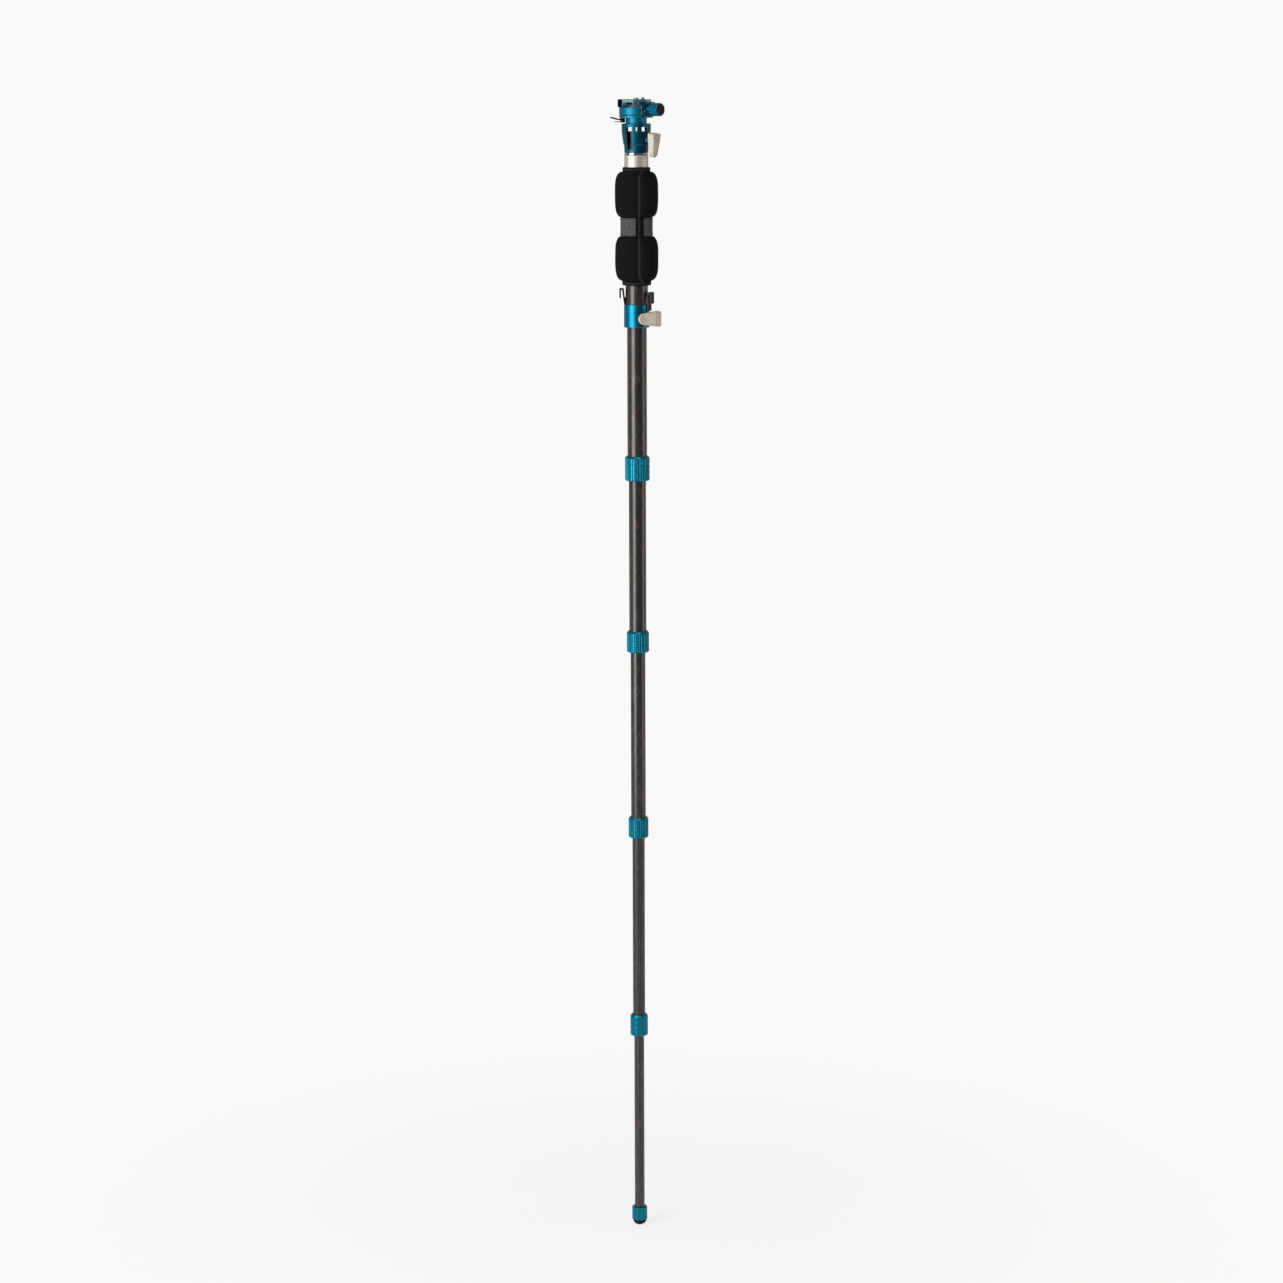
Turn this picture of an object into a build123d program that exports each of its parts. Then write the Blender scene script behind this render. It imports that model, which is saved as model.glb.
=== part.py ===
from build123d import *
import math
import os

# Camera monopod, drawn out, in millimetres. Z is the pole axis, upwards; the origin is the middle
# of the hand grip. Azimuths are angles about Z from +X, the right-hand side seen from the front.

os.makedirs("parts", exist_ok=True)

# Fits and cutters
glue_gap = 0.02
running_fit = 0.1
thread_gap = 0.15
swivel_gap = 0.3
overrun = 1.0

# Pole: five drawn-out sections below the handle, from the top down
tube_diameters = [25.0, 22.0, 19.0, 16.0, 13.0]
drawn_lengths = [164.2, 195.0, 217.4, 237.7, 234.8]
tube_wall = 1.2
tube_overlap = 44.0
stow_gap = 3.0

# Twist locks, from the top down
lock_diameters = [31.5, 28.7, 25.8, 23.0]
lock_heights = [31.4, 27.3, 27.0, 28.3]
lock_lip = 2.0
lock_crown = 3.7
lock_top_chamfer = 2.6
lock_foot_chamfer = 1.3
lock_chamfer_slope_share = 0.62
groove_depth = 0.2
groove_width = 1.8
groove_height_shares = [0.24, 0.46, 0.68]
flute_pitch = 3.05
flute_width = 1.3
flute_depth = 0.5
ferrule_wall = 1.2
ferrule_height_share = 0.37
collet_rise = 0.7
collet_taper = 0.9
collet_slit = 1.2

# Guide bush on the upper end of each tube
guide_flange = 4.0
guide_skirt = 5.0
guide_wall = 1.0

# Foot
rubber_height = 7.1
rubber_step = 0.65
rubber_flat_radius = 3.6
rubber_bulge = 0.9
ring_wall = 3.15
ring_height = 17.5
ring_web = 4.1
ring_chamfer = 0.7
ring_flute_pitch = 2.2
ring_flute_width = 1.1
ring_flute_depth = 0.35
stud_radius = 3.0
stud_reach = 3.2
stud_plug_length = 17.0
stud_flange = 1.5

# Handle tube and blue collar
handle_diameter = 28.5
handle_wall = 1.25
collar_diameter = 32.5
collar_height = 29.2
collar_lip = 1.8
collar_chamfer = 0.6
bush_height = 14.4
bush_slit = 1.5
brake_radius = 3.2
brake_thickness = 1.3
collar_boss_radius = 5.6
collar_boss_rise = 0.9
collar_lever_height = 11.4
collar_lever_azimuth = -64.0

# Strap clip, snapped round the back of the handle tube just above the collar
clip_thickness = 1.9
clip_height = 8.0
clip_gap = 0.3
hook_width = 9.5
hook_gap = 1.4
hook_tongue = 2.1
hook_arm = 2.3
hook_arch = 1.9
hook_reach = 22.1
left_hook_azimuth = 180.0
left_hook_top = 20.2
left_hook_drop = 12.0
right_hook_azimuth = -25.0
right_hook_top = 15.6
right_hook_drop = 14.5
hook_tail = 8.0

# Grip wrap
wrap_gap = 24.0
wrap_lip = 5.0
lower_pad_length = 57.3
waist_length = 22.6
upper_pad_length = 58.1
top_lip_radius = 17.4
bottom_lip_radius = 18.2
waist_radius = 20.8
pad_radius = 27.5
pad_shoulder_radius = 26.2
pad_root_radius = 20.9
pad_shoulder_rise = 6.4
pad_lip_step = 1.4
seam_azimuth = -87.6
seam_width = 1.6
seam_depth = 1.5
strip_azimuth = -79.0
strip_width = 11.4
strip_thickness = 0.9

# Head fitting, spigot and washers
fitting_radius = 15.15
fitting_height = 15.4
fitting_socket = 5.3
fitting_plug = 4.5
fitting_chamfer = 0.5
spigot_radius = 13.0
spigot_shank_radius = 6.0
spigot_shank_length = 12.0
spigot_chamfer = 1.0
spigot_rise = 29.2
spigot_bore_radius = 4.0
spigot_bore_depth = 12.0
detent_depth = 0.7
detent_width = 6.4
swivel_washer_width = 1.68
swivel_washer_height = 0.7
thrust_washer_width = 2.18
thrust_washer_height = 1.6

# Head cage
cage_height = 36.4
cage_base_height = 4.1
cage_plate = 4.3
cage_top_wall = 5.3
cage_shoulder_wall = 4.8
cage_waist_wall = 3.9
cage_step_wall = 3.1
cage_foot_wall = 2.1
cage_base_wall = 1.8
cage_shoulder_share = 0.63
cage_waist_share = 0.43
cage_step_share = 0.3
cage_foot_share = 0.235
window_widths = [8.3, 8.3, 8.0, 8.0]
window_azimuths = [-121.3, 121.3, -55.1, 55.1]
sight_height = 5.6
flex_slit_width = 1.6
flex_slit_offset = 0.3
flex_slit_height = 8.0
head_lever_height = 15.9
head_lever_azimuth = -30.0
head_boss_radius = 5.0
head_boss_stand = 0.6

# Pan base and its small lever
neck_hub_gap = 1.1
neck_height = 7.2
neck_shank_radius = 9.0
pan_disc_height = 3.3
pan_chamfer = 0.5
pan_bolt_radius = 3.0
pan_shoulder_radius = 4.0
pan_head_radius = 6.0
pan_head_height = 2.6
pan_socket_radius = 2.3
pan_washer_inner = 9.0
pan_washer_margin = 6.9
pan_washer_height = 1.0
pan_lever_azimuth = 195.0
pan_lever_inset = 3.9
pan_lever_stem = 2.0
pan_lever_hub = 3.2
pan_lever_hub_height = 5.6
pan_lever_blade = 1.8
pan_lever_width = 6.0
pan_lever_reach = 15.4
pan_lever_flat = 4.9
pan_lever_rise = 2.6
pan_lever_leaf = 10.0
pan_lever_leaf_thickness = 1.0

# Dovetail clamp: k is the screw's direction, c the channel's
clamp_azimuth = -38.0
clamp_base_height = 9.4
jaw_wall = 4.2
jaw_overhang = 1.8
jaw_height = 6.6
jaw_rim = 3.2
dovetail_width = 38.0
dovetail_edge = 1.6
dovetail_lean = 2.6
dovetail_lift = 0.5
jaw_gap = 0.1
base_flat_cut = 2.9
base_groove = 0.4
screw_drop = 2.7
screw_radius = 2.0
screw_root = 9.0
screw_shortfall = 0.4
pin_radius = 1.5
pin_spread = 9.5
pin_drop = 5.0
pin_root = 7.0
pin_setback = 0.7
jaw_block_rise = 0.4
jaw_boss_radius = 6.6
jaw_boss_reach = 0.6
fix_screw_radius = 0.8
fix_screw_sink = 0.6
fix_screw_grip = 3.2
fix_screw_inset = 1.05
fix_screw_spread = 2.5
serration_pitch = 2.0
serration_width = 1.0
serration_depth = 0.5
serration_span = 66.0
relief_width = 3.0
relief_height = 3.4
relief_inset = 3.8

# Clamp knob
knob_length = 14.4
knob_radius = 8.3
knob_neck_radius = 6.4
knob_neck_length = 1.8
knob_chamfer = 0.8
knob_flutes = 14
knob_flute_radius = 1.0
knob_flute_depth = 0.55
cap_radius = 7.5
cap_length = 2.0
cap_seat = 0.8
cap_slot_width = 1.4
cap_slot_depth = 0.7
cap_screw_radius = 2.3

# Camera plate
plate_flange = 2.7
plate_flange_reach = 0.5
plate_length = 34.0
plate_corner = 11.0
plate_groove = 16.0
plate_roof = 3.5
plate_edge = 0.4
pad_strip_length = 22.0
pad_strip_width = 4.0
pad_strip_inset = 8.0
pad_strip_depth = 0.8
pad_strip_rise = 0.3
twist_pin_radius = 1.9
twist_pin_place = 13.5
twist_pin_rise = 2.7
twist_pin_seat = 2.0
camera_screw_radius = 3.175
camera_screw_neck = 2.4
camera_screw_rise = 2.0
camera_screw_chamfer = 0.35
camera_screw_head = 7.0
camera_screw_head_height = 2.4
camera_screw_slot = 1.4

# Paddle levers
paddle_rim = 1.5
paddle_recess = 0.8
paddle_edge = 1.0
paddle_corner = 2.8
paddle_ridge_pitch = 2.1
paddle_ridge_width = 0.9
paddle_ridge_depth = 0.7
paddle_ridges = 3
lever_screw_radius = 2.5
lever_head_radius = 3.4
lever_head_height = 1.6
lever_hex_radius = 1.6
head_hub_length = 2.3
head_paddle_tip = 22.2
head_paddle_end = 7.9
head_paddle_tip_width = 12.0
head_paddle_end_width = 18.0
head_paddle_tip_thickness = 5.4
head_paddle_end_thickness = 9.8
head_hub_radius = 3.5
collar_paddle_start = 17.6
collar_paddle_tip = 7.4
collar_paddle_end = 21.8
collar_paddle_tip_width = 14.4
collar_paddle_end_width = 20.0
collar_paddle_tip_thickness = 5.4
collar_paddle_end_thickness = 9.4
collar_hub_radius = 4.2

# Heights: the middle of the grip is the origin, and everything is stacked up from the ground
lock_count = len(lock_diameters)
ground = -(wrap_gap + wrap_lip + lower_pad_length + waist_length / 2 + collar_height)
ground -= sum(lock_heights) + sum(drawn_lengths) + ring_height + rubber_height
ring_bottom = ground + rubber_height
ring_top = ring_bottom + ring_height
lock_bottoms = [0.0] * lock_count
lock_tops = [0.0] * lock_count
level = ring_top
for index in reversed(range(lock_count)):
    lock_bottoms[index] = level + drawn_lengths[index + 1]
    lock_tops[index] = lock_bottoms[index] + lock_heights[index]
    level = lock_tops[index]
collar_bottom = level + drawn_lengths[0]
collar_top = collar_bottom + collar_height
wrap_bottom = collar_top + wrap_gap
lower_pad_bottom = wrap_bottom + wrap_lip
waist_bottom = lower_pad_bottom + lower_pad_length
waist_top = waist_bottom + waist_length
upper_pad_top = waist_top + upper_pad_length
wrap_top = upper_pad_top + wrap_lip
fitting_top = wrap_top + fitting_height
thrust_bottom = fitting_top + swivel_washer_height
thrust_top = thrust_bottom + thrust_washer_height
cage_bottom = thrust_top + swivel_gap
cage_top = cage_bottom + cage_height
cage_plate_bottom = cage_top - cage_plate
disc_bottom = cage_top + neck_height
disc_top = disc_bottom + pan_disc_height
base_bottom = disc_top + swivel_gap
channel_floor = base_bottom + clamp_base_height
jaw_top = channel_floor + jaw_height
plate_bottom = channel_floor + dovetail_lift
plate_top = jaw_top + plate_flange + swivel_gap
screw_height = channel_floor - screw_drop
pin_height = channel_floor - pin_drop

# Radii and reaches shared by neighbours: the head follows the dovetail's width, the foot its tube
foot_radius = tube_diameters[-1] / 2
ring_radius = foot_radius + swivel_gap + ring_wall
rubber_radius = ring_radius - rubber_step
half_dovetail = dovetail_width / 2
jaw_inner = half_dovetail + jaw_gap
jaw_lip = jaw_inner - dovetail_lean
jaw_radius = jaw_inner + jaw_wall
jaw_boss_end = jaw_radius + jaw_boss_reach
knob_start = jaw_boss_end + swivel_gap
knob_end = knob_start + knob_length
screw_end = knob_end - cap_seat - screw_shortfall
pin_end = jaw_radius - pin_setback
half_flange = half_dovetail + plate_flange_reach
pad_strip_offset = half_flange - pad_strip_inset
pan_radius = jaw_radius - jaw_overhang
base_flat = pan_radius - base_flat_cut
pan_washer_outer = pan_radius - pan_washer_margin
pan_lever_radius = pan_radius - pan_lever_inset
neck_radius = pan_lever_radius - pan_lever_hub - neck_hub_gap
cage_bore = spigot_radius + running_fit
cage_top_radius = cage_bore + cage_top_wall
cage_foot_radius = cage_bore + cage_foot_wall
head_boss_reach = cage_top_radius + head_boss_stand
head_paddle_start = head_boss_reach + head_hub_length + swivel_gap
tube_radii = [diameter / 2 for diameter in tube_diameters]
handle_radius = handle_diameter / 2
handle_bore = handle_radius - handle_wall
collar_radius = collar_diameter / 2
parent_bores = [handle_bore] + [radius - tube_wall for radius in tube_radii[:-1]]


def azimuth_vector(azimuth):
    """Unit vector that points outwards from the pole axis at an azimuth in degrees."""
    return Vector(math.cos(math.radians(azimuth)), math.sin(math.radians(azimuth)), 0)


def outward_plane(azimuth, height, distance=0.0, x_dir=(0, 0, 1)):
    """Plane square to a horizontal direction, its normal pointing away from the pole."""
    origin = azimuth_vector(azimuth) * distance + Vector(0, 0, height)
    return Plane(origin=origin, x_dir=x_dir, z_dir=azimuth_vector(azimuth))


def standing_plane(azimuth, distance, height):
    """Level plane at a distance from the pole, its X axis pointing outwards."""
    origin = azimuth_vector(azimuth) * distance + Vector(0, 0, height)
    return Plane(origin=origin, x_dir=azimuth_vector(azimuth), z_dir=(0, 0, 1))


def level_plane(height, x=0.0, y=0.0):
    """Level plane at a height, its origin at a place beside the pole axis."""
    return Plane(origin=(x, y, height))


def turn(outline, mode=Mode.ADD):
    """Revolve a closed outline of (radius, height) points about the pole axis."""
    with BuildSketch(Plane.XZ) as section:
        with BuildLine():
            Polyline(*outline, close=True)
        make_face()
    revolve(section.sketch, axis=Axis.Z, mode=mode)


def bar(plane, radius, length, mode=Mode.ADD):
    """Round bar of a length along a plane's normal."""
    with BuildSketch(plane) as section:
        Circle(radius)
    extrude(section.sketch, amount=length, mode=mode)


def block(plane, width, depth, height, mode=Mode.ADD):
    """Box centred on a plane's origin and standing on the plane."""
    with BuildSketch(plane) as section:
        Rectangle(width, depth)
    extrude(section.sketch, amount=height, mode=mode)


def tube_section(name, radius, wall, bottom, top):
    """Plain tube on the pole axis."""
    with BuildPart() as tube:
        turn([(radius - wall, bottom), (radius, bottom), (radius, top), (radius - wall, top)])
    save(tube, name)


def save(piece, name):
    """Label a finished piece and write it to its own file."""
    piece.part.label = name
    export_step(piece.part, f"parts/{name}.step")


def flute(radius, bottom, height, pitch, width, depth):
    """Cut upright V flutes into the outside of a turned piece."""
    count = round(2 * math.pi * radius / pitch)
    flare = width / 2 * (1 + overrun / depth)
    with BuildSketch(Plane.XY.offset(bottom)) as cutter:
        with PolarLocations(radius, count):
            Polygon((-depth, 0), (overrun, -flare), (overrun, flare), align=None)
    extrude(cutter.sketch, amount=height, mode=Mode.SUBTRACT)


# Pole tubes with their guide bushes
ferrule_bottoms = [
    bottom + height * ferrule_height_share for bottom, height in zip(lock_bottoms, lock_heights)
]
stud_top = ring_bottom + ring_web + swivel_gap + stud_flange
tube_bottoms = ferrule_bottoms + [stud_top]
tube_tops = [collar_bottom + tube_overlap] + [bottom + tube_overlap for bottom in lock_bottoms]
for index, radius in enumerate(tube_radii):
    number = index + 1
    tube_section(f"tube_{number}", radius, tube_wall, tube_bottoms[index], tube_tops[index])
    skirt = radius - tube_wall - glue_gap
    flange = parent_bores[index] - running_fit
    top = tube_tops[index]
    with BuildPart() as guide:
        turn(
            [
                (skirt - guide_wall, top - guide_skirt),
                (skirt, top - guide_skirt),
                (skirt, top),
                (flange, top),
                (flange, top + guide_flange),
                (skirt - guide_wall, top + guide_flange),
            ]
        )
    save(guide, f"guide_{number}")

# Twist locks: ferrule on the upper tube, collet round the lower tube, fluted ring over both
for index in range(lock_count):
    number = index + 1
    bottom = lock_bottoms[index]
    top = lock_tops[index]
    upper = tube_radii[index]
    lower = tube_radii[index + 1]
    outside = lock_diameters[index] / 2
    shoulder = ferrule_bottoms[index]
    crown = top - lock_crown
    ferrule_radius = upper + ferrule_wall
    with BuildPart() as ferrule:
        turn(
            [
                (upper + glue_gap, shoulder),
                (ferrule_radius, shoulder),
                (ferrule_radius, crown - swivel_gap),
                (upper + glue_gap, crown - swivel_gap),
            ]
        )
    save(ferrule, f"ferrule_{number}")

    seat = bottom + lock_lip
    collet_bottom = seat + swivel_gap
    collet_top = shoulder - glue_gap
    collet_radius = upper + collet_rise
    with BuildPart() as collet:
        turn(
            [
                (lower + running_fit, collet_bottom),
                (collet_radius - collet_taper, collet_bottom),
                (collet_radius, collet_top),
                (lower + running_fit, collet_top),
            ]
        )
        slit_plane = level_plane(collet_bottom - overrun, y=collet_radius)
        slit_height = collet_top - collet_bottom + 2 * overrun
        block(slit_plane, collet_slit, upper, slit_height, Mode.SUBTRACT)
    save(collet, f"collet_{number}")

    slope = lock_top_chamfer * lock_chamfer_slope_share
    outline = [
        (lower + swivel_gap, bottom),
        (outside - lock_foot_chamfer, bottom),
        (outside, bottom + lock_foot_chamfer),
    ]
    for share in groove_height_shares:
        middle = bottom + share * lock_heights[index]
        outline += [
            (outside, middle - groove_width / 2),
            (outside - groove_depth, middle - groove_width / 4),
            (outside - groove_depth, middle + groove_width / 4),
            (outside, middle + groove_width / 2),
        ]
    outline += [
        (outside, top - lock_top_chamfer),
        (outside - slope, top),
        (upper + swivel_gap, top),
        (upper + swivel_gap, crown),
        (ferrule_radius + thread_gap, crown),
        (ferrule_radius + thread_gap, shoulder),
        (collet_radius + thread_gap, shoulder),
        (collet_radius - collet_taper + thread_gap, seat),
        (lower + swivel_gap, seat),
    ]
    with BuildPart() as lock:
        turn(outline)
        flute_bottom = bottom + lock_foot_chamfer
        flute_height = lock_heights[index] - lock_foot_chamfer - lock_top_chamfer
        flute(outside, flute_bottom, flute_height, flute_pitch, flute_width, flute_depth)
    save(lock, f"lock_{number}")

# Foot: plug and stud in the lowest tube, fluted ring and rubber foot that screw onto the stud
plug_radius = foot_radius - tube_wall - glue_gap
stud_bottom = ring_bottom - stud_reach
web_top = ring_bottom + ring_web
with BuildPart() as foot_stud:
    turn(
        [
            (0, stud_bottom),
            (stud_radius, stud_bottom),
            (stud_radius, web_top + swivel_gap),
            (foot_radius, web_top + swivel_gap),
            (foot_radius, stud_top),
            (plug_radius, stud_top),
            (plug_radius, stud_top + stud_plug_length),
            (0, stud_top + stud_plug_length),
        ]
    )
save(foot_stud, "foot_stud")

with BuildPart() as foot_ring:
    turn(
        [
            (stud_radius + thread_gap, ring_bottom),
            (ring_radius - ring_chamfer, ring_bottom),
            (ring_radius, ring_bottom + ring_chamfer),
            (ring_radius, ring_top - ring_chamfer),
            (ring_radius - ring_chamfer, ring_top),
            (foot_radius + swivel_gap, ring_top),
            (foot_radius + swivel_gap, web_top),
            (stud_radius + thread_gap, web_top),
        ]
    )
    ring_flute_bottom = ring_bottom + ring_chamfer
    ring_flute_height = ring_height - 2 * ring_chamfer
    ring_flute = (ring_flute_pitch, ring_flute_width, ring_flute_depth)
    flute(ring_radius, ring_flute_bottom, ring_flute_height, *ring_flute)
save(foot_ring, "foot_ring")

with BuildPart() as rubber_foot:
    with BuildSketch(Plane.XZ) as dome:
        with BuildLine():
            flat = Line((0, ground), (rubber_flat_radius, ground))
            side_radius = (rubber_flat_radius + rubber_radius) / 2 + rubber_bulge
            side = (side_radius, ground + rubber_height / 2 - rubber_bulge)
            ThreePointArc(flat @ 1, side, (rubber_radius, ring_bottom))
            Polyline((rubber_radius, ring_bottom), (0, ring_bottom), (0, ground))
        make_face()
    revolve(dome.sketch, axis=Axis.Z)
    hole_floor = level_plane(stud_bottom - swivel_gap)
    bar(hole_floor, stud_radius + thread_gap, stud_reach + swivel_gap + overrun, Mode.SUBTRACT)
save(rubber_foot, "rubber_foot")

# Handle tube and blue collar with its bush and brake shoe
bush_bottom = collar_bottom + collar_lip + glue_gap
handle_bottom = bush_bottom + bush_height + glue_gap
handle_top = wrap_top + fitting_socket
tube_section("handle_tube", handle_radius, handle_wall, handle_bottom, handle_top)

collar_lever_level = collar_bottom + collar_lever_height
collar_lever_normal = azimuth_vector(collar_lever_azimuth)
collar_boss_end = collar_radius + collar_boss_rise
with BuildPart() as collar:
    turn(
        [
            (tube_radii[0] + swivel_gap, collar_bottom),
            (collar_radius - collar_chamfer, collar_bottom),
            (collar_radius, collar_bottom + collar_chamfer),
            (collar_radius, collar_top - collar_chamfer),
            (collar_radius - collar_chamfer, collar_top),
            (handle_radius + glue_gap, collar_top),
            (handle_radius + glue_gap, collar_bottom + collar_lip),
            (tube_radii[0] + swivel_gap, collar_bottom + collar_lip),
        ]
    )
    boss_plane = outward_plane(collar_lever_azimuth, collar_lever_level, handle_radius + collar_chamfer)
    bar(boss_plane, collar_boss_radius, collar_boss_end - handle_radius - collar_chamfer)
    screw_plane = outward_plane(collar_lever_azimuth, collar_lever_level)
    bar(screw_plane, lever_screw_radius + thread_gap, collar_boss_end + overrun, Mode.SUBTRACT)
save(collar, "collar")

bush_top = bush_bottom + bush_height
with BuildPart() as collar_bush:
    turn(
        [
            (tube_radii[0] + running_fit, bush_bottom),
            (handle_radius, bush_bottom),
            (handle_radius, bush_top),
            (tube_radii[0] + running_fit, bush_top),
        ]
    )
    bar(screw_plane, brake_radius + glue_gap, handle_radius + overrun, Mode.SUBTRACT)
    slit_floor = standing_plane(collar_lever_azimuth + 180, handle_radius, bush_bottom - overrun)
    block(slit_floor, handle_radius, bush_slit, bush_height + 2 * overrun, Mode.SUBTRACT)
save(collar_bush, "collar_bush")

brake_start = tube_radii[0] + running_fit
with BuildPart() as brake_shoe:
    bar(outward_plane(collar_lever_azimuth, collar_lever_level, brake_start), brake_radius, brake_thickness)
save(brake_shoe, "brake_shoe")


def paddle_outline(plane, tip, end, widths, inset):
    """Outline of a paddle, round at its tip and broad at its end, drawn in by an inset."""
    with BuildSketch(plane) as outline:
        with Locations((widths[0] / 2 - tip, 0)):
            Circle(widths[0] / 2 - inset)
        corner = widths[1] / 2 - paddle_corner
        with Locations((end - paddle_corner, corner), (end - paddle_corner, -corner)):
            Circle(paddle_corner - inset)
        make_hull(mode=Mode.REPLACE)
    return outline.sketch


def lever_paddle(name, plane, tip, end, widths, thicknesses, hub_radius, hub_length):
    """Paddle on a hub: broad ridged end, narrow tip, and a rim round a shallow recess."""
    climb = (thicknesses[1] - thicknesses[0]) / (tip + end)
    hub_top = thicknesses[1] - climb * end
    head_depth = lever_head_height + paddle_recess
    top = Plane(
        plane.from_local_coords((0, 0, hub_top)),
        plane.x_dir + plane.z_dir * climb,
        plane.z_dir - plane.x_dir * climb,
    )
    outward = Axis(plane.origin, plane.z_dir)
    with BuildPart() as paddle:
        extrude(paddle_outline(top, tip, end, widths, 0), amount=-2 * thicknesses[1])
        fillet(paddle.faces().sort_by(outward)[-1].edges(), paddle_edge)
        split(bisect_by=plane, keep=Keep.TOP)
        recess = paddle_outline(top, tip, end, widths, paddle_rim)
        extrude(recess, amount=-paddle_recess, mode=Mode.SUBTRACT)
        bar(plane.offset(-hub_length), hub_radius, hub_length + head_depth)
        head_room = head_depth + overrun
        bar(plane.offset(hub_top - head_depth), lever_head_radius + running_fit, head_room, Mode.SUBTRACT)
        bar(plane.offset(-hub_length), lever_screw_radius + glue_gap, thicknesses[1], Mode.SUBTRACT)
        first = end - paddle_edge - paddle_ridge_pitch / 2
        places = [(first - paddle_ridge_pitch * ridge, 0) for ridge in range(paddle_ridges)]
        with BuildSketch(top) as ridges:
            with Locations(*places):
                Rectangle(paddle_ridge_width, 2 * widths[1])
        extrude(ridges.sketch, amount=-paddle_ridge_depth - paddle_recess, mode=Mode.SUBTRACT)
    save(paddle, name)
    return hub_top - head_depth


def lever_screw(name, azimuth, height, start, head):
    """Lever screw: shank that bears on the pole, and a socket head inside the paddle."""
    with BuildPart() as screw:
        bar(outward_plane(azimuth, height, start), lever_screw_radius, head - start)
        bar(outward_plane(azimuth, height, head), lever_head_radius, lever_head_height)
        with BuildSketch(outward_plane(azimuth, height, head + lever_head_height)) as socket:
            RegularPolygon(lever_hex_radius, 6)
        extrude(socket.sketch, amount=-lever_head_height / 2, mode=Mode.SUBTRACT)
    save(screw, name)


# Collar paddle: turns in a plane square to its screw, wide end to the right
paddle_side = azimuth_vector(collar_lever_azimuth + 90)
collar_paddle_plane = outward_plane(
    collar_lever_azimuth, collar_lever_level, collar_paddle_start, paddle_side
)
collar_head_depth = lever_paddle(
    "collar_lever_paddle",
    collar_paddle_plane,
    collar_paddle_tip,
    collar_paddle_end,
    (collar_paddle_tip_width, collar_paddle_end_width),
    (collar_paddle_tip_thickness, collar_paddle_end_thickness),
    collar_hub_radius,
    collar_paddle_start - collar_boss_end - swivel_gap / 2,
)
lever_screw(
    "collar_lever_screw",
    collar_lever_azimuth,
    collar_lever_level,
    brake_start + brake_thickness + glue_gap,
    collar_paddle_start + collar_head_depth + glue_gap,
)

# Strap clip: a sprung band round the back of the tube with a hook at each end


def hook(azimuth, top, drop, tail):
    """Upright hook: leaning arm, arch and outer tongue, all in one radial plane."""
    arm_outer = hook_reach - hook_tongue - hook_gap
    foot_outer = handle_radius + clip_thickness
    plane = Plane(
        origin=(0, 0, 0), x_dir=azimuth_vector(azimuth), z_dir=azimuth_vector(azimuth - 90)
    )
    outline = [
        (foot_outer - clip_thickness + glue_gap, collar_top + clip_gap),
        (foot_outer, collar_top + clip_gap),
        (arm_outer, top - hook_arch),
        (arm_outer + hook_gap, top - hook_arch),
        (arm_outer + hook_gap, top - drop),
        (hook_reach, top - drop),
        (hook_reach, top - hook_arch / 2),
        (hook_reach - hook_arch / 2, top),
        (arm_outer - hook_arm + hook_arch / 2, top),
        (arm_outer - hook_arm, top - hook_arch / 2),
    ]
    with BuildSketch(plane) as profile:
        with BuildLine():
            Polyline(*outline, close=True)
        make_face()
    extrude(profile.sketch, amount=hook_width / 2, both=True)
    if tail > 0:
        tail_inner = collar_radius + clip_gap
        tail_outer = tail_inner + clip_thickness
        tail_top = collar_top + clip_height
        with BuildSketch(plane) as leaf:
            with BuildLine():
                Polyline(
                    (tail_inner, collar_top - tail),
                    (tail_outer, collar_top - tail),
                    (tail_outer, tail_top),
                    (handle_radius + glue_gap, tail_top),
                    (handle_radius + glue_gap, collar_top + clip_gap),
                    (tail_inner, collar_top + clip_gap),
                    close=True,
                )
            make_face()
        extrude(leaf.sketch, amount=hook_width / 2, both=True)


clip_start = right_hook_azimuth
clip_span = left_hook_azimuth - right_hook_azimuth
with BuildPart() as strap_clip:
    band_inner = handle_radius + glue_gap
    with BuildSketch(Plane.XY.offset(collar_top + clip_gap)) as band:
        with BuildLine():
            inner = CenterArc((0, 0), band_inner, clip_start, clip_span)
            outer = CenterArc((0, 0), handle_radius + clip_thickness, clip_start, clip_span)
            Line(inner @ 0, outer @ 0)
            Line(inner @ 1, outer @ 1)
        make_face()
    extrude(band.sketch, amount=clip_height)
    hook(left_hook_azimuth, collar_top + left_hook_top, left_hook_drop, 0)
    hook(right_hook_azimuth, collar_top + right_hook_top, right_hook_drop, hook_tail)
    bar(Plane.XY.offset(collar_top + clip_gap - overrun), band_inner, wrap_gap, Mode.SUBTRACT)
save(strap_clip, "strap_clip")

# Grip wrap: liner, two crowned pads, knitted waist and closing strip
liner_inner = handle_radius + glue_gap
with BuildPart() as grip_liner:
    turn(
        [
            (liner_inner, wrap_bottom),
            (bottom_lip_radius - pad_lip_step / 2, wrap_bottom),
            (bottom_lip_radius, wrap_bottom + pad_lip_step / 2),
            (bottom_lip_radius, lower_pad_bottom),
            (top_lip_radius, lower_pad_bottom),
            (top_lip_radius, wrap_top - pad_lip_step / 2),
            (top_lip_radius - pad_lip_step / 2, wrap_top),
            (liner_inner, wrap_top),
        ]
    )
save(grip_liner, "grip_liner")


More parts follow.
